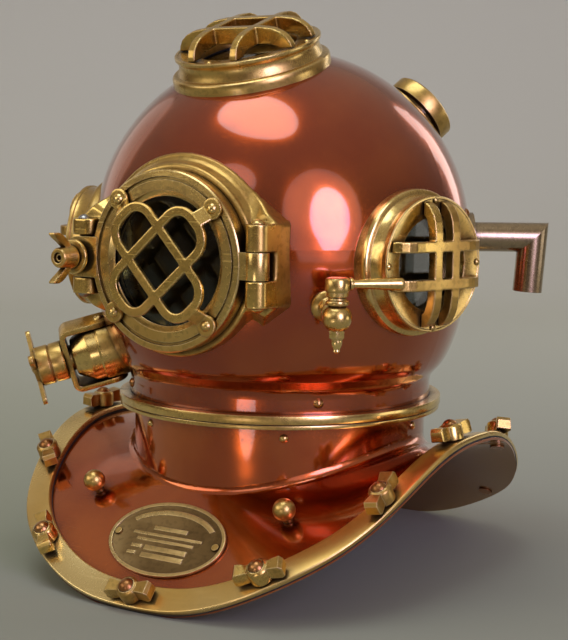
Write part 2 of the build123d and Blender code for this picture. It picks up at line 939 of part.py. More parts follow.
def window_frame(side):
    """Turned brass window frame with a coved wall, seated on the bonnet."""
    size = window_sizes(side)
    face = size["face"]
    flange_radius, flange_top = size["flange"]
    rim_radius_here, rim_depth, land = size["rim"]
    opening, cone = size["opening"]
    rim_low = face - rim_depth
    pocket = size["pocket"]
    seat = pocket_top(size)
    root = face - frame_root_depth
    cove_foot = flange_radius - cove_inset
    edges = [
        Line((pocket, 0, root), (flange_radius, 0, root)),
        Line((flange_radius, 0, root), (flange_radius, 0, flange_top)),
        Line((flange_radius, 0, flange_top), (cove_foot, 0, flange_top)),
        ThreePointArc(
            (cove_foot, 0, flange_top),
            (size["waist"], 0, (flange_top + rim_low) / 2),
            (rim_radius_here, 0, rim_low),
        ),
        Line((rim_radius_here, 0, rim_low), (rim_radius_here, 0, face)),
        Line((rim_radius_here, 0, face), (rim_radius_here - land, 0, face)),
        Line((rim_radius_here - land, 0, face), (opening, 0, face - cone)),
        Line((opening, 0, face - cone), (opening, 0, seat)),
        Line((opening, 0, seat), (pocket, 0, seat)),
        Line((pocket, 0, seat), (pocket, 0, root)),
    ]
    body = revolve(make_face(edges), Axis.Z)
    for spot in small_screw_frames(size):
        body -= spot * disc(small_shank_radius, -small_shank_length, overrun)
    return window_place(side) * body - bonnet_solid(0)


def small_screw_frames(size):
    """Frames of the four screws on a window's rim."""
    circle = size["rim"][0] - small_screw_inset
    return [Rot(0, 0, 90 * index) * Pos(circle, 0, size["face"]) for index in range(4)]


def window_screws(side):
    """Four small domed screws on a window's rim."""
    screw = disc(small_shank_radius, -small_shank_length, 0) + domed(
        small_screw_radius, 0, small_screw_radius * rivet_flatness_share
    )
    return window_place(side) * group([spot * screw for spot in small_screw_frames(window_sizes(side))])


def window_stack(side, name):
    """Gasket, glass and retaining ring behind a window's seat."""
    size = window_sizes(side)
    pocket = size["pocket"]
    gasket_low = pocket_top(size) - window_gasket_thickness
    glass_low = gasket_low - window_glass_thickness
    pieces = {
        "gasket": ring(pocket - glass_play, pocket - window_gasket_width, gasket_low, pocket_top(size)),
        "glass": disc(pocket - glass_play, glass_low, gasket_low),
        "retainer": ring(
            pocket, pocket - window_retainer_width, glass_low - window_retainer_thickness, glass_low
        ),
    }
    return window_place(side) * pieces[name]


def guard_bar(half_length, width, height, undercut):
    """One arched bar of a window guard, standing on the rim."""
    points = [(-half_length, 0, 0)]
    for share_out, share_up in (bar_shoulder_shares, bar_crown_shares):
        points.append((-half_length * share_out, 0, height * share_up))
    points.append((0, 0, height))
    for share_out, share_up in (bar_crown_shares, bar_shoulder_shares):
        points.append((half_length * share_out, 0, height * share_up))
    points.append((half_length, 0, 0))
    inner = half_length - guard_foot_length
    edges = [
        Spline(*points),
        Line((half_length, 0, 0), (inner, 0, 0)),
        ThreePointArc((inner, 0, 0), (0, 0, undercut), (-inner, 0, 0)),
        Line((-inner, 0, 0), (-half_length, 0, 0)),
    ]
    return extrude(make_face(edges), width / 2, both=True)


def window_guard(side):
    """Two pairs of arched bars, crossing over the window."""
    size = window_sizes(side)
    width, offsets, height = size["bars"]
    reach = size["rim"][0] - guard_foot_inset
    upright_offset, level_offset = offsets
    body = Part()
    for sign in (-1, 1):
        level = guard_bar(sqrt(reach**2 - level_offset**2), width, height, guard_undercut)
        upright_half = sqrt(reach**2 - upright_offset**2)
        upright = guard_bar(upright_half, width, height - guard_step, guard_undercut + guard_step)
        body += Pos(0, sign * level_offset, 0) * level
        body += Pos(sign * upright_offset, 0, 0) * Rot(0, 0, 90) * upright
    return window_place(side) * Pos(0, 0, size["face"]) * body


def exhaust_place():
    """Local frame of the exhaust valve: Z runs outward along its axis."""
    return outward((0, 0, exhaust_height), exhaust_azimuth, -exhaust_slope)


def exhaust_body():
    """Valve body with a foot collar, a spindle guide and a port for the chin button."""
    chamber_top = exhaust_body_end - exhaust_end_wall
    body = chamfered_disc(exhaust_body_radius, 0, exhaust_body_end, exhaust_body_chamfer)
    body += disc(exhaust_collar_radius, 0, exhaust_collar_end)
    body -= disc(exhaust_bore_radius, -overrun, guide_low)
    body -= disc(exhaust_bore_radius, guide_low + guide_thickness, chamber_top)
    body -= disc(chin_stem_radius + running_play, 0, chamber_top)
    for index in range(guide_hole_count):
        turn = Rot(0, 0, 360 * index / guide_hole_count)
        body -= turn * Pos(guide_hole_circle, 0, 0) * disc(guide_hole_radius, 0, chamber_top)
    for side in (-1, 1):
        body -= yoke_screw_frame(side) * disc(yoke_screw_radius, -yoke_screw_length, overrun)
    return exhaust_place() * body - bonnet_solid(0)


def yoke_screw_frame(side):
    """Frame on the outer face of a yoke arm, in the exhaust's local frame."""
    return Pos(0, side * yoke_half_height, yoke_screw_seat) * Rot(-90 * side, 0, 0)


def exhaust_yoke():
    """Bent brass strap from both sides of the valve body round its outer end."""
    plate_low = exhaust_body_end + yoke_gap
    plate_high = plate_low + yoke_plate_thickness
    half = yoke_half_height
    width = yoke_width / 2
    outer = block(-width, width, -half, half, plate_high - yoke_arm_length, plate_high)
    hollow = half - yoke_plate_thickness
    body = outer - block(-yoke_width, yoke_width, -hollow, hollow, 0, plate_low)
    corners = body.edges().filter_by(Axis.X).group_by(Axis.Z)[-1]
    body = fillet(corners, yoke_plate_thickness)
    feet = body.edges().filter_by(Axis.Y).group_by(Axis.Z)[0]
    body = fillet(feet, yoke_foot_round)
    body += disc(yoke_hub_radius, exhaust_body_end, plate_low)
    body -= disc(spindle_radius, exhaust_body_end - overrun, plate_high + overrun)
    for side in (-1, 1):
        body -= yoke_screw_frame(side) * disc(yoke_screw_radius, -yoke_screw_length, overrun)
    return exhaust_place() * body


def yoke_screws():
    """Two round head screws through the yoke's arms into the valve body."""
    screw = disc(yoke_screw_radius, -yoke_screw_length, 0) + domed(
        yoke_screw_head_radius, 0, yoke_screw_head_radius * rivet_flatness_share
    )
    return exhaust_place() * group([yoke_screw_frame(side) * screw for side in (-1, 1)])


def exhaust_levels():
    """Heights of the handle's underside and top along the exhaust's axis."""
    low = exhaust_body_end + yoke_gap + yoke_plate_thickness + seat_gap
    middle = low + barrel_height
    return low, middle, middle + handle_thickness


def exhaust_spindle():
    """Fixed spindle with a domed cap that holds the handle on."""
    high = exhaust_levels()[2] + seat_gap
    body = disc(spindle_radius, exhaust_body_end, high)
    body += domed(spindle_cap_radius, high, spindle_cap_height)
    return exhaust_place() * body


def exhaust_handle():
    """Grooved barrel with a thin four-armed handle on its end."""
    low, middle, high = exhaust_levels()
    waist = (low + middle) / 2
    body = turned(
        [
            (0, low),
            (barrel_radius - barrel_chamfer, low),
            (barrel_radius, low + barrel_chamfer),
            (barrel_radius, waist - barrel_groove),
            (barrel_radius - barrel_groove, waist),
            (barrel_radius, waist + barrel_groove),
            (barrel_radius, middle - barrel_chamfer),
            (barrel_radius - barrel_chamfer, middle),
            (0, middle),
        ]
    )
    body += disc(handle_hub_radius, middle, high)
    arm = Rot(0, 0, handle_turn) * extrude(SlotOverall(handle_span, handle_bar), handle_thickness)
    body += Pos(0, 0, middle) * (arm + Rot(0, 0, 90) * arm)
    body -= disc(spindle_radius + running_play, low - overrun, high + overrun)
    return exhaust_place() * body


def chin_button():
    """Chin button, stem and valve disc, sliding through the guide."""
    button_low = chin_button_low
    disc_low = guide_low + guide_thickness + seat_gap
    body = disc(chin_button_radius, button_low, button_low + chin_button_thickness)
    body += disc(chin_stem_radius, button_low + chin_button_thickness, disc_low)
    body += disc(chin_disc_radius, disc_low, disc_low + chin_disc_thickness)
    return exhaust_place() * body


def spit_origin_height():
    """Height at which the spitcock's neck meets the neck axis."""
    return spit_ball_height + spit_reach * sin(radians(spit_slope)) / cos(radians(spit_slope))


def spit_ball_place():
    """Upright frame at the centre of the spitcock's ball."""
    return Pos(*(heading(spit_azimuth) * spit_reach + Vector(0, 0, spit_ball_height)))


def spitcock_body():
    """Ball, neck and flange of the spitcock, with its collar, nut and spout."""
    place = outward((0, 0, spit_origin_height()), spit_azimuth, -spit_slope)
    length = spit_reach / cos(radians(spit_slope))
    neck = disc(spit_neck_radius, 0, length) + disc(spit_flange_radius, 0, spit_flange_end)
    for low in (spit_ring_low, spit_ring_low + 2 * spit_ring_thickness):
        neck += disc(spit_ring_radius, low, low + spit_ring_thickness)
    upper = spit_ball_radius + spit_collar_height
    lower = -spit_ball_radius - spit_nut_height
    ball = Sphere(spit_ball_radius) + disc(spit_collar_radius, 0, upper)
    ball += disc(spit_nut_radius, lower, 0)
    ball += Rot(180, 0, 0) * disc(spit_tip_radius, 0, -lower + spit_tip_height)
    ball += Rot(180, 0, 0) * domed(spit_tip_radius, -lower + spit_tip_height, spit_tip_radius / 2)
    body = place * neck + spit_ball_place() * ball
    body -= spit_ball_place() * disc(spit_spindle_radius + running_play, -spit_ball_radius / 2, overrun)
    return body - bonnet_solid(0)


def spitcock_plug():
    """Cap, spindle and lever of the spitcock, turning together."""
    low = spit_ball_radius + spit_collar_height + spit_gap
    high = low + spit_cap_height
    plug = chamfered_disc(spit_cap_radius, low, high, spit_cap_chamfer)
    plug += disc(spit_spindle_radius, -spit_ball_radius / 2 + spit_gap, low)
    level = high - lever_drop
    rod = Cone(
        lever_root_radius,
        lever_end_radius,
        lever_length,
        align=(Align.CENTER, Align.CENTER, Align.MIN),
    )
    rod += Pos(0, 0, lever_length) * Sphere(lever_end_radius)
    rod += disc(lever_collar_radius, lever_collar_start, lever_collar_start + lever_collar_length)
    plug += outward((0, 0, level), lever_azimuth, 0) * rod
    return spit_ball_place() * plug


def gooseneck(side):
    """Pipe from the bonnet that bends down at a mitre, with a foot flange."""
    lean = radians(gooseneck_lean)
    elbow = (0, 0, gooseneck_reach)
    leg_end = (0, -gooseneck_leg, gooseneck_reach - gooseneck_leg * sin(lean) / cos(lean))

    def pipe(radius, start, stretch):
        path = Polyline(
            (0, 0, start),
            elbow,
            (0, leg_end[1] * stretch, elbow[2] + (leg_end[2] - elbow[2]) * stretch),
        )
        section = Plane(origin=(0, 0, start), z_dir=(0, 0, 1)) * Circle(radius)
        return sweep(section, path, transition=Transition.RIGHT)

    body = pipe(gooseneck_radius, gooseneck_root, 1) + disc(gooseneck_flange_radius, 0, gooseneck_flange_end)
    mouth = Pos(*leg_end) * Rot(90 + gooseneck_lean, 0, 0)
    body = body - pipe(gooseneck_bore_radius, gooseneck_root - overrun, bore_stretch)
    body -= mouth * disc(hose_socket_radius, -hose_socket_depth, overrun)
    place = outward((0, 0, gooseneck_height), side * gooseneck_azimuth, 0)
    return place * body - bonnet_solid(0)


def telephone_cap():
    """Round cap on a short neck at the back of the bonnet."""
    place = outward((0, 0, dome_centre_height), cap_azimuth, cap_elevation)
    body = disc(cap_neck_radius, 0, cap_base) + Pos(0, 0, cap_base) * chamfered_disc(
        cap_radius, 0, cap_top - cap_base, cap_chamfer
    )
    return place * body - bonnet_solid(0)


def bonnet_shell():
    """Spun copper bonnet with holes for the windows, pipes and valves."""
    shell = bonnet_solid(0) - bonnet_solid(copper_wall)
    holes = [outward((0, 0, window_height), 0, 0) * disc(face_bore_radius, 0, dome_radius + overrun)]
    for side in ("left", "right", "top"):
        pocket = window_sizes(side)["pocket"]
        holes.append(window_place(side) * disc(pocket, 0, dome_radius + overrun))
    holes.append(exhaust_place() * disc(exhaust_bore_radius, 0, dome_radius + overrun))
    for side in (-1, 1):
        place = outward((0, 0, gooseneck_height), side * gooseneck_azimuth, 0)
        holes.append(place * disc(gooseneck_bore_radius, 0, dome_radius + overrun))
    return shell - holes


def bonnet_rivets():
    """Copper rivets over the neck ring and one behind each side window."""
    heads = rivets(
        spread(neck_rivet_count, neck_rivet_azimuth),
        bonnet_neck_radius,
        neck_ring_top + neck_rivet_rise,
        neck_rivet_radius,
    )
    low = dome_radius + rivet_play
    head = domed(neck_rivet_radius, low, neck_rivet_radius * rivet_flatness_share)
    centre = (0, 0, dome_centre_height)
    sides = [outward(centre, side * dome_rivet_azimuth, dome_rivet_elevation) * head for side in (-1, 1)]
    return group([heads] + sides)


def nameplate(name):
    """Oval plate that follows the front slope, or its two rivets."""
    frame = flange_frame(0, plate_inset, 0)

    def oval(inset):
        return extrude(
            Ellipse(plate_half_length - inset, plate_half_width - inset), plate_reach, both=True
        )

    low = seat_gap
    high = low + plate_thickness
    top = high + plate_border_height
    plate = plate_slab(low, top) & frame * oval(0)
    field = oval(plate_border)
    plate -= plate_slab(high + plate_bar_height, top + plate_slab_margin) & frame * field
    for level in (-1, 1):
        field -= block(
            -plate_bar_length / 2,
            plate_bar_length / 2,
            level * plate_bar_pitch / 2 + plate_bar_drop - plate_bar_width / 2,
            level * plate_bar_pitch / 2 + plate_bar_drop + plate_bar_width / 2,
            -plate_reach,
            plate_reach,
        )
    plate -= plate_slab(high, top + plate_slab_margin) & frame * field
    heads = []
    for side in (-1, 1):
        spot = frame * Pos(side * (plate_half_length - plate_rivet_inset), 0, 0)
        radius = plate_rivet_radius
        post = spot * disc(radius, -plate_reach, plate_reach)
        plate -= post
        heads.append(plate_slab(low, top + plate_bar_height) & post)
    return plate if name == "plate" else group(heads)


def plate_slab(low, high):
    """A slab over the front slope that the nameplate is cut from."""
    margin = plate_half_width + plate_slab_margin
    near = plate_inset - margin
    far = plate_inset + margin
    return Part() + strap(-plate_slab_azimuth, plate_slab_azimuth, near, far, low, high, plate_bevel)


def ball_studs():
    """Round brass balls on short posts on the front slope."""
    post = disc(ball_neck_radius, seat_gap, ball_radius)
    ball = post + Pos(0, 0, ball_radius + ball_lift) * Sphere(ball_radius)
    return group([flange_frame(side * ball_azimuth, ball_inset, 0) * ball for side in (-1, 1)])


def neck_gasket():
    """Leather washer between the bonnet's ring and the seat ring."""
    high = neck_ring_top - bonnet_ring_height - seat_gap / 2
    low = neck_ring_top - bonnet_ring_height - gasket_height + seat_gap
    outer = neck_ring_radius - gasket_inset
    return ring(outer, outer - gasket_width, low, high)


def strap_gasket():
    """Thin rubber strip between the copper rim and the brail straps."""
    low = seat_gap / 2
    high = low + strap_gasket_thickness
    halves = Part()
    for start in (-90, 90):
        halves += strap(start, start + 180, 0, strap_width, low, high, strap_gasket_bevel)
    holes = [
        flange_frame(azimuth, strap_width / 2, 0)
        * disc(stud_radius + 2 * stud_hole_play, -overrun, overrun)
        for azimuth in stud_azimuths
    ]
    return halves - holes


nodes = {
    "breastplate_shell": breastplate_shell(),
    "breastplate_neck_ring": breastplate_neck_ring(),
    "neck_gasket": neck_gasket(),
    "brail_front": brail(-strap_joint_azimuth, strap_joint_azimuth),
    "brail_back": brail(strap_joint_azimuth, 360 - strap_joint_azimuth),
    "strap_gasket": strap_gasket(),
    "brail_studs": group([flange_frame(azimuth, strap_width / 2, 0) * stud() for azimuth in stud_azimuths]),
    "brail_wing_nuts": group(
        [
            flange_frame(azimuth, strap_width / 2, 0, turn) * wing_nut()
            for azimuth, turn in zip(stud_azimuths, nut_turns)
        ]
    ),
    "ball_studs": ball_studs(),
    "nameplate": nameplate("plate"),
    "nameplate_rivets": nameplate("rivets"),
    "collar_rivets": rivets(
        spread(collar_rivet_count, collar_rivet_azimuth),
        collar_radius,
        neck_ring_top - bonnet_ring_height - gasket_height - seat_ring_height - collar_rivet_drop,
        collar_rivet_radius,
    ),
    "bonnet_shell": bonnet_shell(),
    "bonnet_neck_ring": bonnet_neck_ring(),
    "bonnet_rivets": bonnet_rivets(),
    "face_frame": face_frame(),
    "hinge_pin": hinge_pin(),
    "latch_pins": latch_pins(),
    "door_gasket": door_gasket(),
    "door_ring": door_ring(),
    "door_glass": door_stack("glass"),
    "door_glass_gasket": door_stack("gasket"),
    "door_retainer": door_stack("retainer"),
    "door_guard": door_guard(),
    "door_guard_screws": guard_screws(),
    "latch_bolt": latch_bolt(),
    "latch_wing_nut": latch_wing_nut(),
    "exhaust_body": exhaust_body(),
    "exhaust_yoke": exhaust_yoke(),
    "yoke_screws": yoke_screws(),
    "exhaust_spindle": exhaust_spindle(),
    "exhaust_handle": exhaust_handle(),
    "chin_button": chin_button(),
    "spitcock_body": spitcock_body(),
    "spitcock_plug": spitcock_plug(),
    "air_gooseneck": gooseneck(1),
    "telephone_gooseneck": gooseneck(-1),
    "telephone_cap": telephone_cap(),
}
for window in ("left", "right", "top"):
    nodes[window + "_window_frame"] = window_frame(window)
    nodes[window + "_window_gasket"] = window_stack(window, "gasket")
    nodes[window + "_window_glass"] = window_stack(window, "glass")
    nodes[window + "_window_retainer"] = window_stack(window, "retainer")
    nodes[window + "_window_guard"] = window_guard(window)
    nodes[window + "_window_screws"] = window_screws(window)

os.makedirs("parts", exist_ok=True)
for name, shape in nodes.items():
    export_step(shape, "parts/" + name + ".step")
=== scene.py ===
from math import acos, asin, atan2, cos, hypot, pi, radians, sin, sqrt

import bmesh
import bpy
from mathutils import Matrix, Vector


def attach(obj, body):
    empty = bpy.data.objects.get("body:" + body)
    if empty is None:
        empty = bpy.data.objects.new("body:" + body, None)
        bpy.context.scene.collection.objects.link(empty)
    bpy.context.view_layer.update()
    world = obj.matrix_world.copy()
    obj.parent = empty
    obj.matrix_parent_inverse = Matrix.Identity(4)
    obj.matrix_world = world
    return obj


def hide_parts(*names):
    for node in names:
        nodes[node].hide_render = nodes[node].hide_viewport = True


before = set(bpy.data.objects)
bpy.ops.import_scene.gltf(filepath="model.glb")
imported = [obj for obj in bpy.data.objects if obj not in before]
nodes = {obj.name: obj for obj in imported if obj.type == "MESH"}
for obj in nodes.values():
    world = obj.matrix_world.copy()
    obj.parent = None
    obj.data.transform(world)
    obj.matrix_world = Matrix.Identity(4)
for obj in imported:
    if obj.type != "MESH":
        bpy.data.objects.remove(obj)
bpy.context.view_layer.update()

# %% [markdown]
# A diving helmet is spun copper with cast and turned brass brazed and bolted to it.
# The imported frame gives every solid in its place. This script dresses them: it rounds the
# edges, beats the sheet metal slightly out of true, and gives each metal its age.
# Shapes are drawn in millimetres and turned into metres when a piece is made.
# Z is up, the face window looks along -Y and the wearer's left is +X.

MM = 0.001

# %% [markdown]
# The camera stands where the photographer stood: in front, to the wearer's left, a little
# above the face window. A long lens keeps the dome round, and the camera has no shift, so it
# serves from other sides too.

# %% Camera
CAMERA_PLACE = (0.6907, -1.0889, 0.3502)
CAMERA_TURN = (radians(83.58), radians(-0.78), radians(32.36))
CAMERA_LENS = 84.4


def linked(name, data):
    """Makes an object from its data and links it to the scene."""
    made = bpy.data.objects.new(name, data)
    bpy.context.scene.collection.objects.link(made)
    return made


camera = linked("photo_camera", bpy.data.cameras.new("photo_camera"))
camera.data.lens = CAMERA_LENS
camera.data.clip_start = 0.05
camera.location = CAMERA_PLACE
camera.rotation_euler = CAMERA_TURN
bpy.context.scene.camera = camera
bpy.context.scene.view_settings.view_transform = "Standard"
print("camera:", tuple(round(v, 3) for v in camera.location))

# %% [markdown]
# Polished metal shows the room more than it shows itself, so the lights are chosen by where
# they appear in the dome. A tall oval window to the right makes the pale patch, with a wide dim
# one round it so that the patch has a soft border. A ceiling light fills the top, and a low
# panel beside the camera makes the upright band on the collar.
# The room behind the camera stays dim, which is what keeps copper deep and red.
# Lamps are hidden from the camera itself, because other views would look straight at them.
# The low panel lights only reflections, so it leaves no bright spot on the floor.

# %% Lights
STUDIO_CENTRE = Vector((0, 0, 0.25))
# Each light: azimuth from the front, elevation, distance, width, height, power in watts, colour.
LIGHTS = {
    "right_window": (60, 15, 2.1, 0.85, 1.25, 19, (0.60, 0.50, 1.0)),
    "right_glow": (56, 16, 2.5, 2.1, 2.5, 9, (1.0, 0.9, 0.98)),
    "front_sheet": (-2, 34, 2.6, 1.3, 0.9, 3.2, (0.85, 0.92, 1.0)),
    "ceiling": (-12, 74, 2.0, 1.5, 1.0, 12, (0.8, 0.9, 1.0)),
    "left_sheet": (-38, 17, 2.3, 1.8, 1.0, 8.0, (1.0, 0.95, 0.86)),
    "side_sheet": (114, -3, 2.2, 1.0, 0.8, 2.6, (1.0, 0.94, 0.85)),
    "left_fill": (-104, 20, 2.2, 1.0, 1.4, 0.9, (1.0, 0.94, 0.86)),
    "rear_strip": (168, 20, 2.2, 0.5, 1.5, 3, (1.0, 0.97, 0.94)),
}
# The low panel beside the camera, for the collar alone.
COLLAR_PANEL = (10, -16.5, 0.66, 0.14, 0.12, 0.13, (1.0, 0.88, 0.9))


def heading(azimuth):
    """Level unit vector, from the front (-Y) round towards the wearer's left (+X)."""
    return Vector((sin(radians(azimuth)), -cos(radians(azimuth)), 0))


def direction(azimuth, elevation):
    """The same, lifted by an elevation."""
    return heading(azimuth) * cos(radians(elevation)) + Vector((0, 0, sin(radians(elevation))))


def add_light(name, azimuth, elevation, distance, width, height, power, colour):
    """Adds a soft oval lamp that faces the helmet."""
    lamp = linked(name, bpy.data.lights.new(name, "AREA"))
    lamp.data.shape = "ELLIPSE"
    lamp.data.size = width
    lamp.data.size_y = height
    lamp.data.energy = power
    lamp.data.color = colour
    away = direction(azimuth, elevation)
    lamp.location = STUDIO_CENTRE + away * distance
    lamp.rotation_euler = away.to_track_quat("Z", "Y").to_euler()
    lamp.visible_camera = False
    return lamp


lamps = [add_light(name, *values) for name, values in LIGHTS.items()]
collar_panel = add_light("collar_panel", *COLLAR_PANEL)
collar_panel.visible_diffuse = False
print("lamps:", [lamp.name for lamp in lamps])

# %% [markdown]
# Every colour below is made by shader nodes, so the few things that are asked of them again and
# again get short names here: a noise, a sum, a stretched value, a mix of colours, a bump.

# %% Node helpers
def feed(tree, given, socket):
    """Links a socket to another one, or sets it to a number, a vector or a colour."""
    if isinstance(given, bpy.types.NodeSocket):
        tree.links.new(given, socket)
    elif isinstance(given, tuple):
        socket.default_value = (*given, 1.0)
    else:
        socket.default_value = given


def own_place(tree):
    """The piece's own coordinates."""
    return tree.nodes.new("ShaderNodeTexCoord").outputs["Object"]


def scaled_noise(tree, vector, scale, detail, label):
    """A noise texture on a vector. Scale is a socket or a number, in features per metre."""
    texture = tree.nodes.new("ShaderNodeTexNoise")
    texture.label = label
    for name, given in (("Detail", detail), ("Vector", vector), ("Scale", scale)):
        feed(tree, given, texture.inputs[name])
    return texture.outputs["Fac"]


def remap(tree, value, low, high, out_low=0.0, out_high=1.0, smooth=True):
    """Stretches a value between two limits to another range."""
    node = tree.nodes.new("ShaderNodeMapRange")
    node.interpolation_type = "SMOOTHSTEP" if smooth else "LINEAR"
    names = ("Value", "From Min", "From Max", "To Min", "To Max")
    for name, given in zip(names, (value, low, high, out_low, out_high)):
        feed(tree, given, node.inputs[name])
    return node.outputs["Result"]


def calc(tree, operation, *values):
    """One math node on values or sockets."""
    node = tree.nodes.new("ShaderNodeMath")
    node.operation = operation
    for socket, given in zip(node.inputs, values):
        feed(tree, given, socket)
    return node.outputs["Value"]


def vector_calc(tree, operation, *values):
    """One vector math node: a number from a dot product, else a vector."""
    node = tree.nodes.new("ShaderNodeVectorMath")
    node.operation = operation
    for socket, given in zip(node.inputs, values):
        feed(tree, given, socket)
    return node.outputs["Value" if operation == "DOT_PRODUCT" else "Vector"]


def colour_ramp(tree, factor, low, high):
    """A ramp between two colours."""
    node = tree.nodes.new("ShaderNodeValToRGB")
    for element, colour in zip(node.color_ramp.elements, (low, high)):
        element.color = (*colour, 1.0)
    feed(tree, factor, node.inputs["Fac"])
    return node.outputs["Color"]


def colour_mix(tree, factor, first, second):
    """Mixes two colours by a mask."""
    node = tree.nodes.new("ShaderNodeMix")
    node.data_type = "RGBA"
    feed(tree, factor, node.inputs["Factor"])
    for name, given in (("A", first), ("B", second)):
        feed(tree, given, next(s for s in node.inputs if s.name == name and s.type == "RGBA"))
    return next(s for s in node.outputs if s.type == "RGBA")


def bumped(tree, height, strength, distance, normal=None):
    """The normal after a bump, over an earlier normal if there is one."""
    node = tree.nodes.new("ShaderNodeBump")
    node.inputs["Strength"].default_value = strength
    node.inputs["Distance"].default_value = distance
    feed(tree, height, node.inputs["Height"])
    if normal:
        feed(tree, normal, node.inputs["Normal"])
    return node.outputs["Normal"]


def new_material(name):
    """A new material, its tree and its shader."""
    material = bpy.data.materials.new(name)
    material.use_nodes = True
    tree = material.node_tree
    return material, tree, tree.nodes["Principled BSDF"]


print("node helpers: noise, remap, calc, vector_calc, colour_ramp, colour_mix, bumped")

# %% [markdown]
# The world is the dim room. A vertical ramp is enough: darker below, paler above, so that
# turned brass gets a clear light side and dark side. Looked at straight, past the paper's
# edge, the room is as grey as the paper, so that no view has a brown sky.

# %% World
ROOM_LOW = (0.085, 0.058, 0.036)
ROOM_HIGH = (0.42, 0.38, 0.32)
ROOM_SEEN = (0.30, 0.30, 0.26)


def add_world():
    """Fills the room with a soft ramp from dim to pale."""
    world = bpy.data.worlds.new("dim_room")
    bpy.context.scene.world = world
    world.use_nodes = True
    tree = world.node_tree
    split = tree.nodes.new("ShaderNodeSeparateXYZ")
    feed(tree, tree.nodes.new("ShaderNodeTexCoord").outputs["Generated"], split.inputs[0])
    ramp = colour_ramp(tree, split.outputs["Z"], ROOM_LOW, ROOM_HIGH)
    seen = tree.nodes.new("ShaderNodeLightPath").outputs["Is Camera Ray"]
    feed(tree, colour_mix(tree, seen, ramp, ROOM_SEEN), tree.nodes["Background"].inputs["Color"])
    return world


print("world:", add_world().name)

# %% [markdown]
# The floor is one sheet that curves up into a wall behind the helmet, as a photographer's
# paper does, so no line crosses the picture. The wall gets less light than the floor does, so
# the paper is paler up there and the two meet in one even grey.

# %% Floor and backdrop
PAPER_WIDTH = 7.0
PAPER_FRONT = 3.2
PAPER_BACK = 2.0
PAPER_BEND = 1.2
PAPER_HEIGHT = 3.0
PAPER_STEPS = 24
PAPER_GREY = (0.30, 0.31, 0.235)
WALL_GREY = (0.96, 0.98, 0.90)
# Where the floor's grey starts to grow paler, along the paper from the helmet's axis.
FADE_START = -0.2


def paper_mesh(turn):
    """The floor, the bend and the wall as one strip."""
    profile = [(-PAPER_FRONT, 0.0)]
    for step in range(PAPER_STEPS + 1):
        angle = 0.5 * pi * step / PAPER_STEPS
        profile.append((PAPER_BACK + PAPER_BEND * sin(angle), PAPER_BEND * (1 - cos(angle))))
    profile.append((PAPER_BACK + PAPER_BEND, PAPER_HEIGHT))
    shape = bmesh.new()
    rows = []
    for along, up in profile:
        row = [turn @ Vector((side * PAPER_WIDTH / 2, along, up)) for side in (-1, 1)]
        rows.append([shape.verts.new(point) for point in row])
    for low, high in zip(rows, rows[1:]):
        shape.faces.new((low[0], low[1], high[1], high[0]))
    data = bpy.data.meshes.new("paper")
    shape.to_mesh(data)
    shape.free()
    data.shade_smooth()
    return data


def add_paper():
    """Lays the paper so that it faces the camera."""
    turn = Matrix.Rotation(CAMERA_TURN[2], 4, "Z")
    paper = linked("paper", paper_mesh(turn))
    material, tree, shader = new_material("grey_paper")
    along = vector_calc(tree, "DOT_PRODUCT", own_place(tree), turn @ Vector((0, 1, 0)))
    fade = remap(tree, along, FADE_START, PAPER_BACK + PAPER_BEND, smooth=False)
    feed(tree, colour_ramp(tree, fade, PAPER_GREY, WALL_GREY), shader.inputs["Base Color"])
    shader.inputs["Roughness"].default_value = 0.95
    shader.inputs["Specular IOR Level"].default_value = 0.1
    paper.data.materials.append(material)
    return paper


paper = add_paper()
print("paper faces:", len(paper.data.polygons))

# %% [markdown]
# Age shows the same few ways on every metal here: soft blotches in the lacquer, tiny flecks,
# hair scratches from polishing cloths, dirt in the corners and bright worn edges.
# Each effect is a node group with named sockets, placed in a material with its own values.
# The groups read the piece's own coordinates, so a pattern stays put when a door swings.

# %% Group: blotches and flecks
def new_group(name, inputs, outputs):
    """A shader group, with what its named inputs give and what its named outputs take."""
    group = bpy.data.node_groups.new(name, "ShaderNodeTree")
    for label, value in inputs.items():
        socket = group.interface.new_socket(label, in_out="INPUT", socket_type="NodeSocketFloat")
        socket.default_value = value
    for label in outputs:
        group.interface.new_socket(label, in_out="OUTPUT", socket_type="NodeSocketFloat")
    given = group.nodes.new("NodeGroupInput").outputs
    made = group.nodes.new("NodeGroupOutput").inputs
    return group, given, made


def make_blotch_group():
    """Soft clouds and small flecks, for lacquer that has gone uneven."""
    inputs = {"Blotches per metre": 14.0, "Flecks per metre": 260.0, "Contrast": 0.5}
    group, given, made = new_group("uneven_lacquer", inputs, ["Blotch", "Fleck"])
    place = own_place(group)
    cloud = scaled_noise(group, place, given["Blotches per metre"], 4.0, "cloud")
    # A higher contrast narrows the band between the two limits.
    half_band = calc(group, "MULTIPLY_ADD", given["Contrast"], -0.16, 0.22)
    low = calc(group, "SUBTRACT", 0.5, half_band)
    high = calc(group, "ADD", 0.5, half_band)
    feed(group, remap(group, cloud, low, high), made["Blotch"])
    fleck = scaled_noise(group, place, given["Flecks per metre"], 6.0, "fleck")
    feed(group, remap(group, fleck, 0.42, 0.68), made["Fleck"])
    return group


blotch_group = make_blotch_group()
print("group:", blotch_group.name)

# %% [markdown]
# Wear and dirt follow the shape. The Bevel node knows the rounded normal near an edge, and
# where it differs from the real one there is an edge. Ambient occlusion knows the corners
# that a cloth never reaches. One gives the bright rubbed lines, the other the brown hollows.

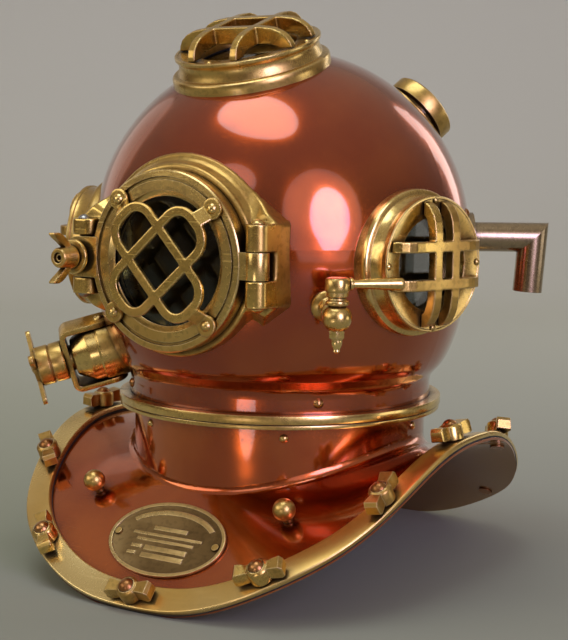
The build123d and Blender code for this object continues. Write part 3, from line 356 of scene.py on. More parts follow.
# %% Group: edges and hollows
def make_wear_group():
    """Masks for rubbed edges and for dirty hollows."""
    inputs = {"Edge width": 0.0012, "Hollow reach": 0.012, "Hollow strength": 1.0}
    group, given, made = new_group("edges_and_hollows", inputs, ["Edge", "Hollow"])
    bevel = group.nodes.new("ShaderNodeBevel")
    bevel.samples = 4
    feed(group, given["Edge width"], bevel.inputs["Radius"])
    surface = group.nodes.new("ShaderNodeNewGeometry").outputs["Normal"]
    likeness = vector_calc(group, "DOT_PRODUCT", bevel.outputs["Normal"], surface)
    corner = group.nodes.new("ShaderNodeAmbientOcclusion")
    corner.samples = 6
    feed(group, given["Hollow reach"], corner.inputs["Distance"])
    grime = scaled_noise(group, own_place(group), 90.0, 5.0, "grime")
    uneven = calc(group, "MULTIPLY_ADD", grime, 0.3, -0.15)
    opened = calc(group, "ADD", corner.outputs["AO"], uneven)
    hollow = remap(group, opened, 0.9, 0.35)
    feed(group, calc(group, "MULTIPLY", hollow, given["Hollow strength"]), made["Hollow"])
    edge = remap(group, likeness, 0.995, 0.93)
    rubbed = calc(group, "MULTIPLY", edge, remap(group, grime, 0.35, 0.6, 0.35, 1.0))
    clean = remap(group, hollow, 0.0, 0.6, 1.0, 0.0)
    feed(group, calc(group, "MULTIPLY", rubbed, clean), made["Edge"])
    return group


wear_group = make_wear_group()
print("group:", wear_group.name)

# %% [markdown]
# Polishing leaves hair scratches in all directions and faint dents where sheet was beaten.
# Two stretched noises, each turned its own way, make the scratches; a slow one makes dents.

# %% Group: polishing marks
def stretched(tree, place, turn, squeeze):
    """Coordinates turned and squeezed, so that noise on them becomes long hairs."""
    node = tree.nodes.new("ShaderNodeMapping")
    node.inputs["Rotation"].default_value = [radians(a) for a in turn]
    node.inputs["Scale"].default_value = squeeze
    feed(tree, place, node.inputs["Vector"])
    return node.outputs["Vector"]


def make_polish_group():
    """Height of hair scratches and slow dents, and a mask of the scratches."""
    inputs = {"Hairs per metre": 900.0, "Dents per metre": 16.0, "Dent share": 0.5}
    group, given, made = new_group("polishing_marks", inputs, ["Height", "Scratch"])
    place = own_place(group)
    hairs = []
    for turn, squeeze in (((20, 35, 10), (1, 0.03, 0.6)), ((70, -25, 60), (0.03, 1, 0.5))):
        vector = stretched(group, place, turn, squeeze)
        line = scaled_noise(group, vector, given["Hairs per metre"], 2.0, "hairs")
        hairs.append(remap(group, line, 0.60, 0.72))
    scratch = calc(group, "MAXIMUM", *hairs)
    dents = scaled_noise(group, place, given["Dents per metre"], 1.0, "dents")
    slow = calc(group, "MULTIPLY", dents, given["Dent share"])
    fine = calc(group, "MULTIPLY", scratch, -0.0015)
    feed(group, calc(group, "ADD", slow, fine), made["Height"])
    feed(group, scratch, made["Scratch"])
    return group


polish_group = make_polish_group()
print("group:", polish_group.name)

# %% [markdown]
# The sheet copper was tinned inside and the tin has gone dark. A face that looks towards a
# point on the neck axis is an inner face, so one dot product tells the two sides apart.

# %% Group: inner side of sheet metal
def make_inside_group():
    """Mask of the faces that look towards a point on the neck axis."""
    group, given, made = new_group("inner_side", {"Centre height": 0.276}, ["Inside"])
    surface = group.nodes.new("ShaderNodeNewGeometry").outputs["True Normal"]
    centre = group.nodes.new("ShaderNodeCombineXYZ")
    feed(group, given["Centre height"], centre.inputs["Z"])
    away = vector_calc(group, "SUBTRACT", own_place(group), centre.outputs["Vector"])
    facing = vector_calc(group, "DOT_PRODUCT", away, surface)
    feed(group, remap(group, facing, 0.002, -0.002), made["Inside"])
    return group


inside_group = make_inside_group()
print("group:", inside_group.name)

# %% [markdown]
# Every metal here is one recipe with its own values: a bright colour where lacquer is sound,
# a deep one in the blotches, a dirt colour in the hollows and a rubbed colour on the edges.
# The shader stays fully metallic, because even brown brass is still metal under its film.
# A thin coat gives the hard white glint of lacquer over the softer glint of the metal.

# %% The recipe for a metal
LACQUER_ROUGHNESS = 0.06
LINING_ROUGHNESS = 0.6
HOLLOW_DULLNESS = 0.3
SCRATCH_DULLNESS = 0.08
POLISH_DEPTH = 0.0012
SWELLS_PER_METRE = 13.0


def place_group(tree, group, **values):
    """Places a shared group in a material and sets its sockets."""
    node = tree.nodes.new("ShaderNodeGroup")
    node.node_tree = group
    for name, value in values.items():
        node.inputs[name.replace("_", " ")].default_value = value
    return node.outputs


def metal(
    name, bright, deep, dirt, rubbed,
    rough=(0.16, 0.34), coat=0.25, coat_index=1.5, blotches=9.0, contrast=0.4, flecks=240.0,
    fleck_share=0.2, hollow=0.9, reach=0.012, edge=0.0012, dents=0.5, bump=0.35, rounding=0.0006,
    wave=0.0, inside=None,
):
    """Makes an aged metal from four colours and a few strengths."""
    material, tree, shader = new_material(name)
    lacquer = place_group(
        tree, blotch_group, Blotches_per_metre=blotches, Flecks_per_metre=flecks, Contrast=contrast
    )
    wear = place_group(
        tree, wear_group, Edge_width=edge, Hollow_reach=reach, Hollow_strength=hollow
    )
    polish = place_group(tree, polish_group, Dent_share=dents)
    colour = colour_mix(tree, lacquer["Blotch"], bright, deep)
    fleck = remap(tree, lacquer["Fleck"], 0.2, 1.0, 0.0, fleck_share)
    for mask, coating in ((fleck, dirt), (wear["Hollow"], dirt), (wear["Edge"], rubbed)):
        colour = colour_mix(tree, mask, colour, coating)
    dull = remap(tree, lacquer["Blotch"], 0.0, 1.0, *rough)
    dull = calc(tree, "MULTIPLY_ADD", wear["Hollow"], HOLLOW_DULLNESS, dull)
    dull = calc(tree, "MULTIPLY_ADD", polish["Scratch"], SCRATCH_DULLNESS, dull)
    if inside:
        centre_height, lining_colour = inside
        lining = place_group(tree, inside_group, Centre_height=centre_height)["Inside"]
        colour = colour_mix(tree, lining, colour, lining_colour)
        dull = remap(tree, lining, 0.0, 1.0, dull, LINING_ROUGHNESS, smooth=False)
    feed(tree, colour, shader.inputs["Base Color"])
    feed(tree, dull, shader.inputs["Roughness"])
    rounded = tree.nodes.new("ShaderNodeBevel")
    rounded.samples = 3
    rounded.inputs["Radius"].default_value = rounding
    normal = bumped(tree, polish["Height"], bump, POLISH_DEPTH, rounded.outputs["Normal"])
    if wave:
        swell = scaled_noise(tree, own_place(tree), SWELLS_PER_METRE, 2.0, "swell")
        normal = bumped(tree, swell, 1.0, wave, normal)
    feed(tree, normal, shader.inputs["Normal"])
    shader.inputs["Metallic"].default_value = 1.0
    shader.inputs["Coat Weight"].default_value = coat
    shader.inputs["Coat Roughness"].default_value = LACQUER_ROUGHNESS
    shader.inputs["Coat IOR"].default_value = coat_index
    return material


GROUPS = (blotch_group, wear_group, polish_group, inside_group)
print("groups in the recipe:", [group.name for group in GROUPS])

# %% The metals
BROWN_DIRT = (0.035, 0.017, 0.006)
TARNISHED_TIN = (0.10, 0.062, 0.03)
SADDLE_LINING = (0.42, 0.24, 0.08)
# Bright, deep, dirt and rubbed colour, then what differs from the recipe's own values.
RECIPES = {
    "spun_copper": (
        (0.54, 0.108, 0.016), (0.40, 0.056, 0.006), (0.11, 0.014, 0.002), (0.75, 0.32, 0.15),
        dict(rough=(0.13, 0.19), coat=1.0, coat_index=1.62, hollow=0.8, reach=0.02, bump=0.12,
             wave=0.0022, fleck_share=0.02, inside=(0.276, TARNISHED_TIN)),
    ),
    "saddle_copper": (
        (0.70, 0.17, 0.03), (0.52, 0.09, 0.011), (0.09, 0.010, 0.002), (0.7, 0.3, 0.14),
        dict(rough=(0.12, 0.17), coat=0.9, coat_index=1.6, hollow=0.85, reach=0.025, bump=0.12,
             wave=0.0016, fleck_share=0.03, inside=(-0.3, SADDLE_LINING)),
    ),
    "copper_heads": (
        (0.50, 0.25, 0.09), (0.36, 0.15, 0.045), (0.12, 0.03, 0.009), (0.82, 0.44, 0.22),
        dict(rough=(0.22, 0.34), coat=0.1, hollow=1.0, reach=0.006),
    ),
    "turned_brass": (
        (0.93, 0.66, 0.235), (0.62, 0.385, 0.105), BROWN_DIRT, (0.86, 0.68, 0.37),
        dict(rough=(0.19, 0.32), hollow=1.0, reach=0.01),
    ),
    "cast_brass": (
        (0.88, 0.60, 0.18), (0.56, 0.33, 0.085), BROWN_DIRT, (0.86, 0.66, 0.34),
        dict(rough=(0.2, 0.36), coat=0.15, hollow=1.0, contrast=0.6, bump=0.5, rounding=0.0009,
             edge=0.0016),
    ),
    "strap_brass": (
        (1.0, 0.76, 0.34), (0.80, 0.50, 0.14), (0.09, 0.05, 0.018), (0.92, 0.78, 0.48),
        dict(rough=(0.24, 0.3), coat=0.1, blotches=5.0, reach=0.008, contrast=0.7,
             fleck_share=0.03, bump=0.08),
    ),
    "dark_bronze": (
        (0.46, 0.34, 0.20), (0.26, 0.17, 0.09), (0.02, 0.012, 0.006), (0.42, 0.33, 0.22),
        dict(rough=(0.2, 0.3), coat=0.8, hollow=0.8),
    ),
    "plate_brass": (
        (0.85, 0.62, 0.27), (0.58, 0.38, 0.14), (0.03, 0.014, 0.006), (0.85, 0.66, 0.36),
        dict(rough=(0.26, 0.42), coat=0.1, hollow=1.0, reach=0.003, bump=0.6),
    ),
    "plate_field": (
        (0.34, 0.22, 0.09), (0.18, 0.11, 0.04), (0.02, 0.012, 0.005), (0.5, 0.36, 0.18),
        dict(rough=(0.4, 0.6), coat=0.0, hollow=1.0, reach=0.004, bump=1.2),
    ),
    "grey_steel": (
        (0.45, 0.44, 0.42), (0.28, 0.26, 0.24), (0.05, 0.035, 0.02), (0.65, 0.64, 0.6),
        dict(rough=(0.25, 0.4), coat=0.0, hollow=1.0),
    ),
}
METALS = {name: metal(name, *colours, **values) for name, (*colours, values) in RECIPES.items()}
print("metals:", sorted(METALS))

# %% [markdown]
# Rubber, leather and glass are the only pieces that are not metal. Rubber and leather have a
# grain of cells; the glass is thick and clear, with a little green in its edge, and behind it
# the helmet is dark, so it mostly mirrors the room.

# %% Rubber, leather and glass
def make_grain_group():
    """Cells and creases, for rubber and leather."""
    inputs = {"Cells per metre": 900.0, "Wear": 0.5}
    group, given, made = new_group("skin_grain", inputs, ["Grain", "Worn"])
    place = own_place(group)
    cells = group.nodes.new("ShaderNodeTexVoronoi")
    cells.feature = "DISTANCE_TO_EDGE"
    feed(group, place, cells.inputs["Vector"])
    feed(group, given["Cells per metre"], cells.inputs["Scale"])
    feed(group, remap(group, cells.outputs["Distance"], 0.0, 0.25), made["Grain"])
    cloud = remap(group, scaled_noise(group, place, 60.0, 4.0, "cloud"), 0.4, 0.7)
    feed(group, calc(group, "MULTIPLY", cloud, given["Wear"]), made["Worn"])
    return group


grain_group = make_grain_group()


def soft_material(name, dark, pale, cells, rough):
    """Rubber or leather from two colours and a grain size."""
    material, tree, shader = new_material(name)
    grain = place_group(tree, grain_group, Cells_per_metre=cells, Wear=0.8)
    feed(tree, colour_mix(tree, grain["Worn"], dark, pale), shader.inputs["Base Color"])
    feed(tree, remap(tree, grain["Worn"], 0.0, 1.0, rough, rough + 0.2), shader.inputs["Roughness"])
    feed(tree, bumped(tree, grain["Grain"], 0.5, 0.0003), shader.inputs["Normal"])
    return material


def glass_material(name):
    """Old plate glass: clear, faintly green, with a few dusty smears."""
    material, tree, shader = new_material(name)
    lacquer = place_group(tree, blotch_group, Blotches_per_metre=30.0, Contrast=0.4)
    colour = colour_mix(tree, lacquer["Blotch"], (0.86, 0.93, 0.90), (0.74, 0.82, 0.78))
    feed(tree, colour, shader.inputs["Base Color"])
    feed(tree, remap(tree, lacquer["Fleck"], 0.0, 1.0, 0.02, 0.12), shader.inputs["Roughness"])
    shader.inputs["Transmission Weight"].default_value = 1.0
    shader.inputs["IOR"].default_value = 1.45
    return material


SOFT = {
    "black_rubber": soft_material(
        "black_rubber", (0.012, 0.012, 0.012), (0.05, 0.048, 0.044), 1400.0, 0.55
    ),
    "washer_leather": soft_material(
        "washer_leather", (0.07, 0.03, 0.012), (0.19, 0.10, 0.05), 900.0, 0.6
    ),
    "plate_glass": glass_material("plate_glass"),
}
print("soft and clear:", sorted(SOFT))

# %% [markdown]
# The frame's own solids keep their shape, so each only needs its finish. The list says which
# metal each piece is made of, as a repairer would sort them on a bench.

# %% A finish for every solid
FINISHES = {**METALS, **SOFT}
WINDOWS = ("left", "right", "top")
BENCH = {
    "spun_copper": ["bonnet_shell"],
    "saddle_copper": ["breastplate_shell"],
    "copper_heads": ["bonnet_rivets", "brail_studs"],
    "turned_brass": [
        "breastplate_neck_ring", "bonnet_neck_ring", "face_frame", "door_ring", "door_retainer",
        "latch_bolt", "latch_wing_nut", "ball_studs", "exhaust_body", "exhaust_spindle",
        "telephone_cap", "spitcock_body", "spitcock_plug", "yoke_screws", "chin_button",
        "door_guard_screws", "nameplate_rivets", "collar_rivets", "hinge_pin",
        *[side + "_window_" + part for side in WINDOWS for part in ("frame", "retainer", "screws")],
    ],
    "cast_brass": [
        "door_guard", "exhaust_yoke", "exhaust_handle", "brail_wing_nuts",
        *[side + "_window_guard" for side in WINDOWS],
    ],
    "strap_brass": ["brail_front", "brail_back"],
    "dark_bronze": ["air_gooseneck", "telephone_gooseneck"],
    "plate_brass": ["nameplate"],
    "grey_steel": ["latch_pins"],
    "black_rubber": [
        "strap_gasket", "door_gasket", "door_glass_gasket",
        *[side + "_window_gasket" for side in WINDOWS],
    ],
    "washer_leather": ["neck_gasket"],
    "plate_glass": ["door_glass", *[side + "_window_glass" for side in WINDOWS]],
}


def finish_solids():
    """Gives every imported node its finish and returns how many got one."""
    done = 0
    for finish, names in BENCH.items():
        for name in names:
            solid = nodes[name]
            solid.data.materials.clear()
            solid.data.materials.append(FINISHES[finish])
            done += 1
    return done


print("solids finished:", finish_solids(), "of", len(nodes))

# %% [markdown]
# Pieces that need more than a finish are modelled again here. The tools below do the work of a
# small shop: a lathe turns profiles, a saw cuts plates from outlines, and a foundry fuses
# rough solids into one casting with soft corners by remeshing them and rubbing them smooth.
# Each part is drawn in millimetres in its own local frame, whose Z points away from the helmet,
# and is then stood in its place, so the drawing reads like the real part's.

# %% Places
WINDOW_HEIGHT = 265
DOME_HEIGHT = 276
DOME_RADIUS = 160
# The dome's centre lies this far above the axis of the face window and of the side windows.
SIDEWAYS = DOME_HEIGHT - WINDOW_HEIGHT
# One turn stands a drawing's Y up, the other lays a plate's thickness along Y.
STAND = Matrix.Rotation(radians(90), 4, "X")
LAY = Matrix.Rotation(radians(-90), 4, "X")


def spin(turn):
    """A turn about Z, in degrees."""
    return Matrix.Rotation(radians(turn), 4, "Z")


def shift(x, y, z):
    """A move."""
    return Matrix.Translation((x, y, z))


def axes(origin, across, up, out):
    """A place from its origin and its three axes."""
    place = Matrix((across, up, out)).transposed().to_4x4()
    place.translation = Vector(origin)
    return place


def outward(origin, azimuth, elevation):
    """A place whose Z points outward and whose Y points upward."""
    level = heading(azimuth)
    out = direction(azimuth, elevation)
    across = Vector((-level.y, level.x, 0))
    return axes(origin, across, out.cross(across), out)


FACE_PLACE = outward((0, 0, WINDOW_HEIGHT), 0, 0)
print("face window looks along", tuple(FACE_PLACE.col[2].xyz))

# %% Lathe and saw
def pinned(shape, points, place=None):
    """New vertices of a bmesh at local points."""
    place = place or Matrix()
    return [shape.verts.new(place @ Vector(point)) for point in points]


def skin(shape, low, high):
    """Faces between two closed loops of as many vertices."""
    for index in range(len(low)):
        after = (index + 1) % len(low)
        shape.faces.new((low[index], low[after], high[after], high[index]))


def turned(profile, steps=96, place=None):
    """Turns a closed profile of (radius, height) about Z."""
    shape = bmesh.new()
    turns = [2 * pi * step / steps for step in range(steps)]
    rings = []
    for radius, height in profile:
        points = [(radius * cos(a), radius * sin(a), height) for a in turns]
        rings.append(pinned(shape, points if radius else [(0, 0, height)], place))
    for low, high in zip(rings, rings[1:] + rings[:1]):
        for step in range(steps):
            after = (step + 1) % steps
            around = (low, step), (low, after), (high, after), (high, step)
            corners = list(dict.fromkeys(ring[index % len(ring)] for ring, index in around))
            if len(corners) > 2:
                shape.faces.new(corners)
    return shape


def rod(radius, low, high):
    """Profile of a plain rod."""
    return [(0, low), (radius, low), (radius, high), (0, high)]


def plate(shape, outline, low, high, place=None):
    """Cuts a plate from a closed outline of (x, y) points, from low to high along Z."""
    bottom, top = [pinned(shape, [(x, y, z) for x, y in outline], place) for z in (low, high)]
    shape.faces.new(bottom[::-1])
    shape.faces.new(top)
    skin(shape, bottom, top)
    return shape


def ring_plate(shape, outer, inner, low, high, place=None):
    """A plate with a hole, from two outlines of as many points."""
    corners = ((outer, low), (outer, high), (inner, high), (inner, low))
    loops = [pinned(shape, [(x, y, z) for x, y in outline], place) for outline, z in corners]
    for first, second in zip(loops, loops[1:] + loops[:1]):
        skin(shape, first, second)
    return shape


def loft(shape, sections, place=None):
    """Skins a row of closed sections, lists of as many points, and caps both ends."""
    rows = [pinned(shape, section, place) for section in sections]
    for row, after in zip(rows, rows[1:]):
        skin(shape, row, after)
    shape.faces.new(rows[0][::-1])
    shape.faces.new(rows[-1])
    return shape


def block(shape, x, y, z):
    """A box between two corners given as ranges."""
    return plate(shape, [(x[0], y[0]), (x[1], y[0]), (x[1], y[1]), (x[0], y[1])], *z)


def arc(centre, radius, start, end, steps):
    """Points on an arc, angles in degrees."""
    angles = [radians(start + (end - start) * step / steps) for step in range(steps + 1)]
    return [(centre[0] + radius * cos(a), centre[1] + radius * sin(a)) for a in angles]


def disc_outline(radius, steps=48):
    """A round outline."""
    return arc((0, 0), radius, 0, 360 - 360 / steps, steps - 1)


print("arc over a right angle:", [tuple(round(v, 2) for v in p) for p in arc((0, 0), 1, 0, 90, 2)])

# %% [markdown]
# A drawing becomes an object when it is stood in its place. Objects can then be united or cut
# with exact Booleans, which keep crisp seams, or fused in the foundry, which rounds them.

# %% From drawing to object
def closed(shape):
    """Makes every face of a bmesh look outward."""
    bmesh.ops.remove_doubles(shape, verts=shape.verts, dist=1e-5)
    bmesh.ops.recalc_face_normals(shape, faces=shape.faces)
    return shape


def stood(name, shape, place=None):
    """Makes an object of a bmesh, in metres if it is given a place, and frees the bmesh."""
    closed(shape)
    if place:
        shape.transform(Matrix.Scale(MM, 4) @ place)
    data = bpy.data.meshes.new(name)
    shape.to_mesh(data)
    shape.free()
    return linked(name, data)


def applied(piece):
    """Replaces a piece's mesh by the one that its modifiers give."""
    graph = bpy.context.evaluated_depsgraph_get()
    graph.update()
    finished = bpy.data.meshes.new_from_object(piece.evaluated_get(graph))
    piece.modifiers.clear()
    piece.data = finished
    return piece


def worked(operation, piece, tools):
    """Unites an object with others, or takes them from it, and removes them."""
    for tool in tools:
        step = piece.modifiers.new(operation.lower(), "BOOLEAN")
        step.operation = operation
        step.solver = "EXACT"
        step.object = tool
    applied(piece)
    for tool in tools:
        bpy.data.objects.remove(tool)
    return piece


def solved(operation, shapes):
    """The same with bmeshes: one bmesh from the first and what is done to it."""
    first, *rest = [stood("part", shape) for shape in shapes]
    result = bmesh.new()
    result.from_mesh(worked(operation, first, rest).data)
    bpy.data.objects.remove(first)
    return result


def joined(*shapes):
    """Unites closed bmeshes."""
    return solved("UNION", shapes)


def cut(body, tool):
    """Takes one closed bmesh away from another."""
    return solved("DIFFERENCE", (body, tool))


print("Booleans at hand:", [made.__name__ for made in (joined, cut)])

# %% Finished pieces
def fitted(piece, finish, body, node):
    """Gives a piece its finish, ties it to its body and hides the node it stands for."""
    piece.data.materials.clear()
    piece.data.materials.append(FINISHES[finish])
    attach(piece, body)
    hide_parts(node)
    print(piece.name, "faces:", len(piece.data.polygons))
    return piece


def make_piece(
    name, shape, place, body, node, finish="turned_brass", soften=0.0, crisp=35
):
    """Stands a drawing in its place and breaks its edges, softened by so many millimetres."""
    piece = stood(name, shape, place)
    if soften:
        edge = piece.modifiers.new("softened", "BEVEL")
        edge.width = soften * MM
        edge.segments = 3
        edge.limit_method = "ANGLE"
        edge.angle_limit = radians(crisp)
        applied(piece)
    piece.data.set_sharp_from_angle(angle=radians(crisp))
    return fitted(piece, finish, body, node)


def cast_piece(name, shape, place, body, node, grain, rubs, drill=None):
    """Fuses overlapping solids into one casting: remeshed at a grain in mm, then rubbed smooth."""
    piece = stood(name, shape, place)
    fused = piece.modifiers.new("fused", "REMESH")
    fused.mode = "VOXEL"
    fused.voxel_size = grain * MM
    rub = piece.modifiers.new("rubbed", "SMOOTH")
    rub.factor = 0.5
    rub.iterations = rubs
    applied(piece)
    if drill:
        worked("DIFFERENCE", piece, [stood("drill", drill, place)])
    piece.data.shade_smooth()
    return fitted(piece, "cast_brass", body, node)


print("finishes to choose from:", len(FINISHES))

# %% [markdown]
# The foot of a window frame follows the ball of the dome, which a plain lathe can't turn. So a
# ring is skinned from a section that may change with the angle, and its last points are read
# off the dome itself.

# %% A ring that sits on the dome
def dome_level(x, y, sideways=0.0):
    """Height of the dome's skin over a window's axis, where the axis passes the dome's centre."""
    return sqrt(DOME_RADIUS**2 - x**2 - (y - sideways) ** 2)


def polar(section, steps):
    """A closed ring from a section that changes with the angle, as (radius, height) lists."""
    shape = bmesh.new()
    rows = []
    for step in range(steps):
        angle = 2 * pi * step / steps
        rows.append(pinned(shape, [(r * cos(angle), r * sin(angle), z) for r, z in section(angle)]))
    for row, after in zip(rows, rows[1:] + rows[:1]):
        skin(shape, row, after)
    return shape


def seat_section(outer, bore, angle, sideways, sink=0.6, count=4):
    """Points along the dome's skin from the outer radius in to the bore, slightly sunk into it."""
    radii = [outer + (bore - outer) * step / count for step in range(count + 1)]
    return [(r, dome_level(r * cos(angle), r * sin(angle), sideways) - sink) for r in radii]


print("dome's skin in front of the face window's axis:", round(dome_level(0, 0, SIDEWAYS), 2), "mm")

# %% [markdown]
# The window guards are cast: four flat bars that arch over the glass, cross in one plane and
# run into each other with small fillets. Two crossing plates could not give those fillets, so
# each bar is a plate cut from its side outline, and the foundry fuses the four.

# %% Window guards
SIDE_AZIMUTH = 73.6
TOP_TILT = 19.5
GUARD_FOOT_INSET = 3.6
# Outer outline of half a bar: shares of its half length and of its height, foot to crown.
BAR_OUTER_SHARES = (
    (1.0, 0.0), (0.985, 0.22), (0.93, 0.50), (0.83, 0.74), (0.70, 0.90), (0.52, 0.98), (0.3, 1.0),
)
BAR_FOOT_SHARE = 0.78
SIDE_GUARD = dict(face=178.8, rim=52.7, width=8.4, level=14.5, upright=9.6, height=14.2, depth=7.4)
GUARD_SIZES = {
    "left": SIDE_GUARD,
    "right": SIDE_GUARD,
    "top": dict(face=171, rim=60.4, width=6.4, level=16, upright=20, height=18.0, depth=13.5),
}


def window_place(side):
    """The place of the left, right or top window."""
    if side == "top":
        return outward((0, 0, DOME_HEIGHT), 0, 90 - TOP_TILT)
    return outward((0, 0, WINDOW_HEIGHT), SIDE_AZIMUTH if side == "left" else -SIDE_AZIMUTH, 0)


def bar_outline(half, height, depth):
    """Side outline of an arched bar, thinner at the crown than at its feet."""
    outer = [(half * along, height * up) for along, up in BAR_OUTER_SHARES]
    under = height - depth
    foot = BAR_FOOT_SHARE * half
    turns = [radians(10 * step) for step in range(1, 9)]
    right = [(foot, 0.0), *[(foot * cos(a), under * sin(a) ** 0.7) for a in turns], (0.0, under)]
    left = [(-x, y) for x, y in right[:-1]]
    return [*outer, *[(-x, y) for x, y in outer[::-1]], *left, *right[::-1]]


def add_window_guard(side):
    """Fuses two pairs of arched bars into one guard."""
    size = GUARD_SIZES[side]
    shape = bmesh.new()
    reach = size["rim"] - GUARD_FOOT_INSET
    half_width = size["width"] / 2
    for sign in (-1, 1):
        level = shift(0, sign * size["level"], 0)
        upright = shift(sign * size["upright"], 0, 0) @ spin(90)
        for way, move in (("level", level), ("upright", upright)):
            outline = bar_outline(sqrt(reach**2 - size[way] ** 2), size["height"], size["depth"])
            plate(shape, outline, -half_width, half_width, move @ STAND)
    place = window_place(side) @ shift(0, 0, size["face"])
    node = side + "_window_guard"
    return cast_piece(side + "_guard_casting", shape, place, "bonnet", node, 0.55, 5)


for side in WINDOWS:
    add_window_guard(side)

# %% [markdown]
# A window frame is turned brass. Its wall is one long hollow curve from the foot flange up to a
# thin rim, and its face is a shallow dish that shows as a broad gold land round the glass.
# A lathe profile gives all of that; only its back is not turned, because it has to follow the
# dome, so the section's last points are taken from the dome at every angle.

# %% Window frames
SIDE_FRAME = dict(
    flange=57.7, band=162, waist=51.6, rim=52.7, face=178.8, land=1.8, bore=36.0, dish=0.9,
    pocket=43.3, cone=10.5,
)
FRAME_SIZES = {
    "left": SIDE_FRAME,
    "right": SIDE_FRAME,
    "top": dict(
        flange=65.5, band=155.0, waist=58.4, rim=60.6, face=171, land=2.6, bore=40.5, dish=1.2,
        pocket=46, cone=7,
    ),
}
SEAT_WALL = 2.3


def cove(start, middle, end, steps=10):
    """A smooth hollow curve through three points."""
    points = []
    for step in range(steps + 1):
        t = step / steps
        a, b, c = 2 * (t - 0.5) * (t - 1), 4 * t * (1 - t), 2 * t * (t - 0.5)
        points.append(tuple(a * start[i] + b * middle[i] + c * end[i] for i in (0, 1)))
    return points


def window_outline(flange, band, waist, rim, face, land, bore, dish, pocket, cone):
    """The turned outline of one window frame, from the foot to the glass seat."""
    seat = face - cone - SEAT_WALL
    return [
        (flange, band - 5.0), (flange, band - 2.2), (flange - 0.7, band - 0.8),
        (flange - 1.9, band),
        (waist + 3.0, band + 0.2), (waist + 1.9, band + 0.6),
        *cove((waist + 1.6, band + 1.6), (waist, (band + face) / 2), (rim - 1.0, face - 4.0)),
        (rim - 0.3, face - 3.4), (rim, face - 2.8), (rim, face - 0.7), (rim - 0.7, face),
        (rim - land, face), (rim - land - 0.6, face - 0.5),
        (bore + 2.2, face - 0.5 - dish), (bore + 0.6, face - 1.2 - dish),
        (bore, face - 2.6 - dish), (bore, seat), (pocket, seat),
    ]


def add_window_frame(side):
    """Turns one window frame and lets its back follow the dome."""
    size = FRAME_SIZES[side]
    outline = window_outline(**size)
    sideways = 0.0 if side == "top" else SIDEWAYS

    def section(angle):
        return [*outline, *seat_section(size["flange"], size["pocket"], angle, sideways)[::-1]]

    name = side + "_frame_turned"
    node = side + "_window_frame"
    shape = polar(section, 144)
    return make_piece(name, shape, window_place(side), "bonnet", node, crisp=28)


for side in WINDOWS:
    add_window_frame(side)

# %% [markdown]
# The face frame is the heaviest casting: a barrel that flares where it meets the dome, with a
# cheek to the hinge on one side and a lug for the latch on the other. Seen from the front, the
# cheeks are the straight lines that just touch the barrel and run to the corners of the blocks.
# So the outline's radius is worked out at every angle, and the hinge eyes and the latch ears
# are fused on in the foundry.

# %% Face frame
BARREL_RADIUS = 75
BARREL_FRONT = 156.6
FACE_BORE = 56
SKIRT_RADIUS = 83
SKIRT_EDGE = 3.4
# Over this length beyond the skirt the cheek rises from the skirt to its shelf.
CHEEK_RISE = 8.5
HINGE_CORNER = (90.5, 31.3)
HINGE_SHELF = 150.8
HINGE_AXIS = (81.5, 162)
HINGE_BLOCK = (72.6, 90.5)
KNUCKLE_RADIUS = 9.1
KNUCKLE_SPAN = (10.75, 31.3)
LATCH_CORNER = (95, 29)
LATCH_SHELF = 156.2
LATCH_AXIS = -84
BOLT_HOLE = (5.6, 150.6, 158)
EAR_SPAN = (17, 30)
BLOCK_FOOT = 140
# A latch ear from its side: across the face, and minus its distance in front of the dome's axis.
EAR_OUTLINE = [
    (-95, -BLOCK_FOOT), (-95, -160), *arc((-88, -160.6), 7, 180, 270, 6),
    *arc((-80, -160.6), 7, 270, 360, 6), (-73, -BLOCK_FOOT),
]


def cheek_radius(angle, corner, radius):
    """Radius of a round barrel joined to a block's corner by a line that touches the barrel."""
    turn = abs(atan2(sin(angle), cos(angle)))
    corner_turn = atan2(corner[1], corner[0])
    touch = corner_turn + acos(radius / hypot(*corner))
    if turn <= corner_turn:
        return corner[0] / cos(turn)
    if turn < touch:
        return radius / cos(turn - touch)
    return radius


def face_section(angle):
    """Section of the face frame at one angle."""
    hinge_side = cos(angle) > 0
    corner, shelf = (HINGE_CORNER, HINGE_SHELF) if hinge_side else (LATCH_CORNER, LATCH_SHELF)
    outer = cheek_radius(angle if hinge_side else angle + pi, corner, SKIRT_RADIUS)
    skirt = dome_level(outer * cos(angle), outer * sin(angle), SIDEWAYS) + SKIRT_EDGE
    share = min(1.0, max(0.0, (outer - SKIRT_RADIUS) / CHEEK_RISE))
    share = share * share * (3 - 2 * share)
    level = min(skirt + (shelf - skirt) * share, shelf)
    fillet = min(9.0, max(0.3, BARREL_FRONT - 1.6 - level))
    return [
        (FACE_BORE, BARREL_FRONT), (BARREL_RADIUS - 1.6, BARREL_FRONT),
        (BARREL_RADIUS, BARREL_FRONT - 1.4), (BARREL_RADIUS, level + fillet),
        (BARREL_RADIUS + 0.25 * fillet, level + 0.3 * fillet),
        (BARREL_RADIUS + min(fillet * 0.9, outer - BARREL_RADIUS - 3), level + 0.02),
        (outer - 2, level - 0.1), (outer - 0.4, level - 0.9), (outer, level - 2.4),
        *seat_section(outer + 0.6, FACE_BORE, angle, SIDEWAYS),
    ]


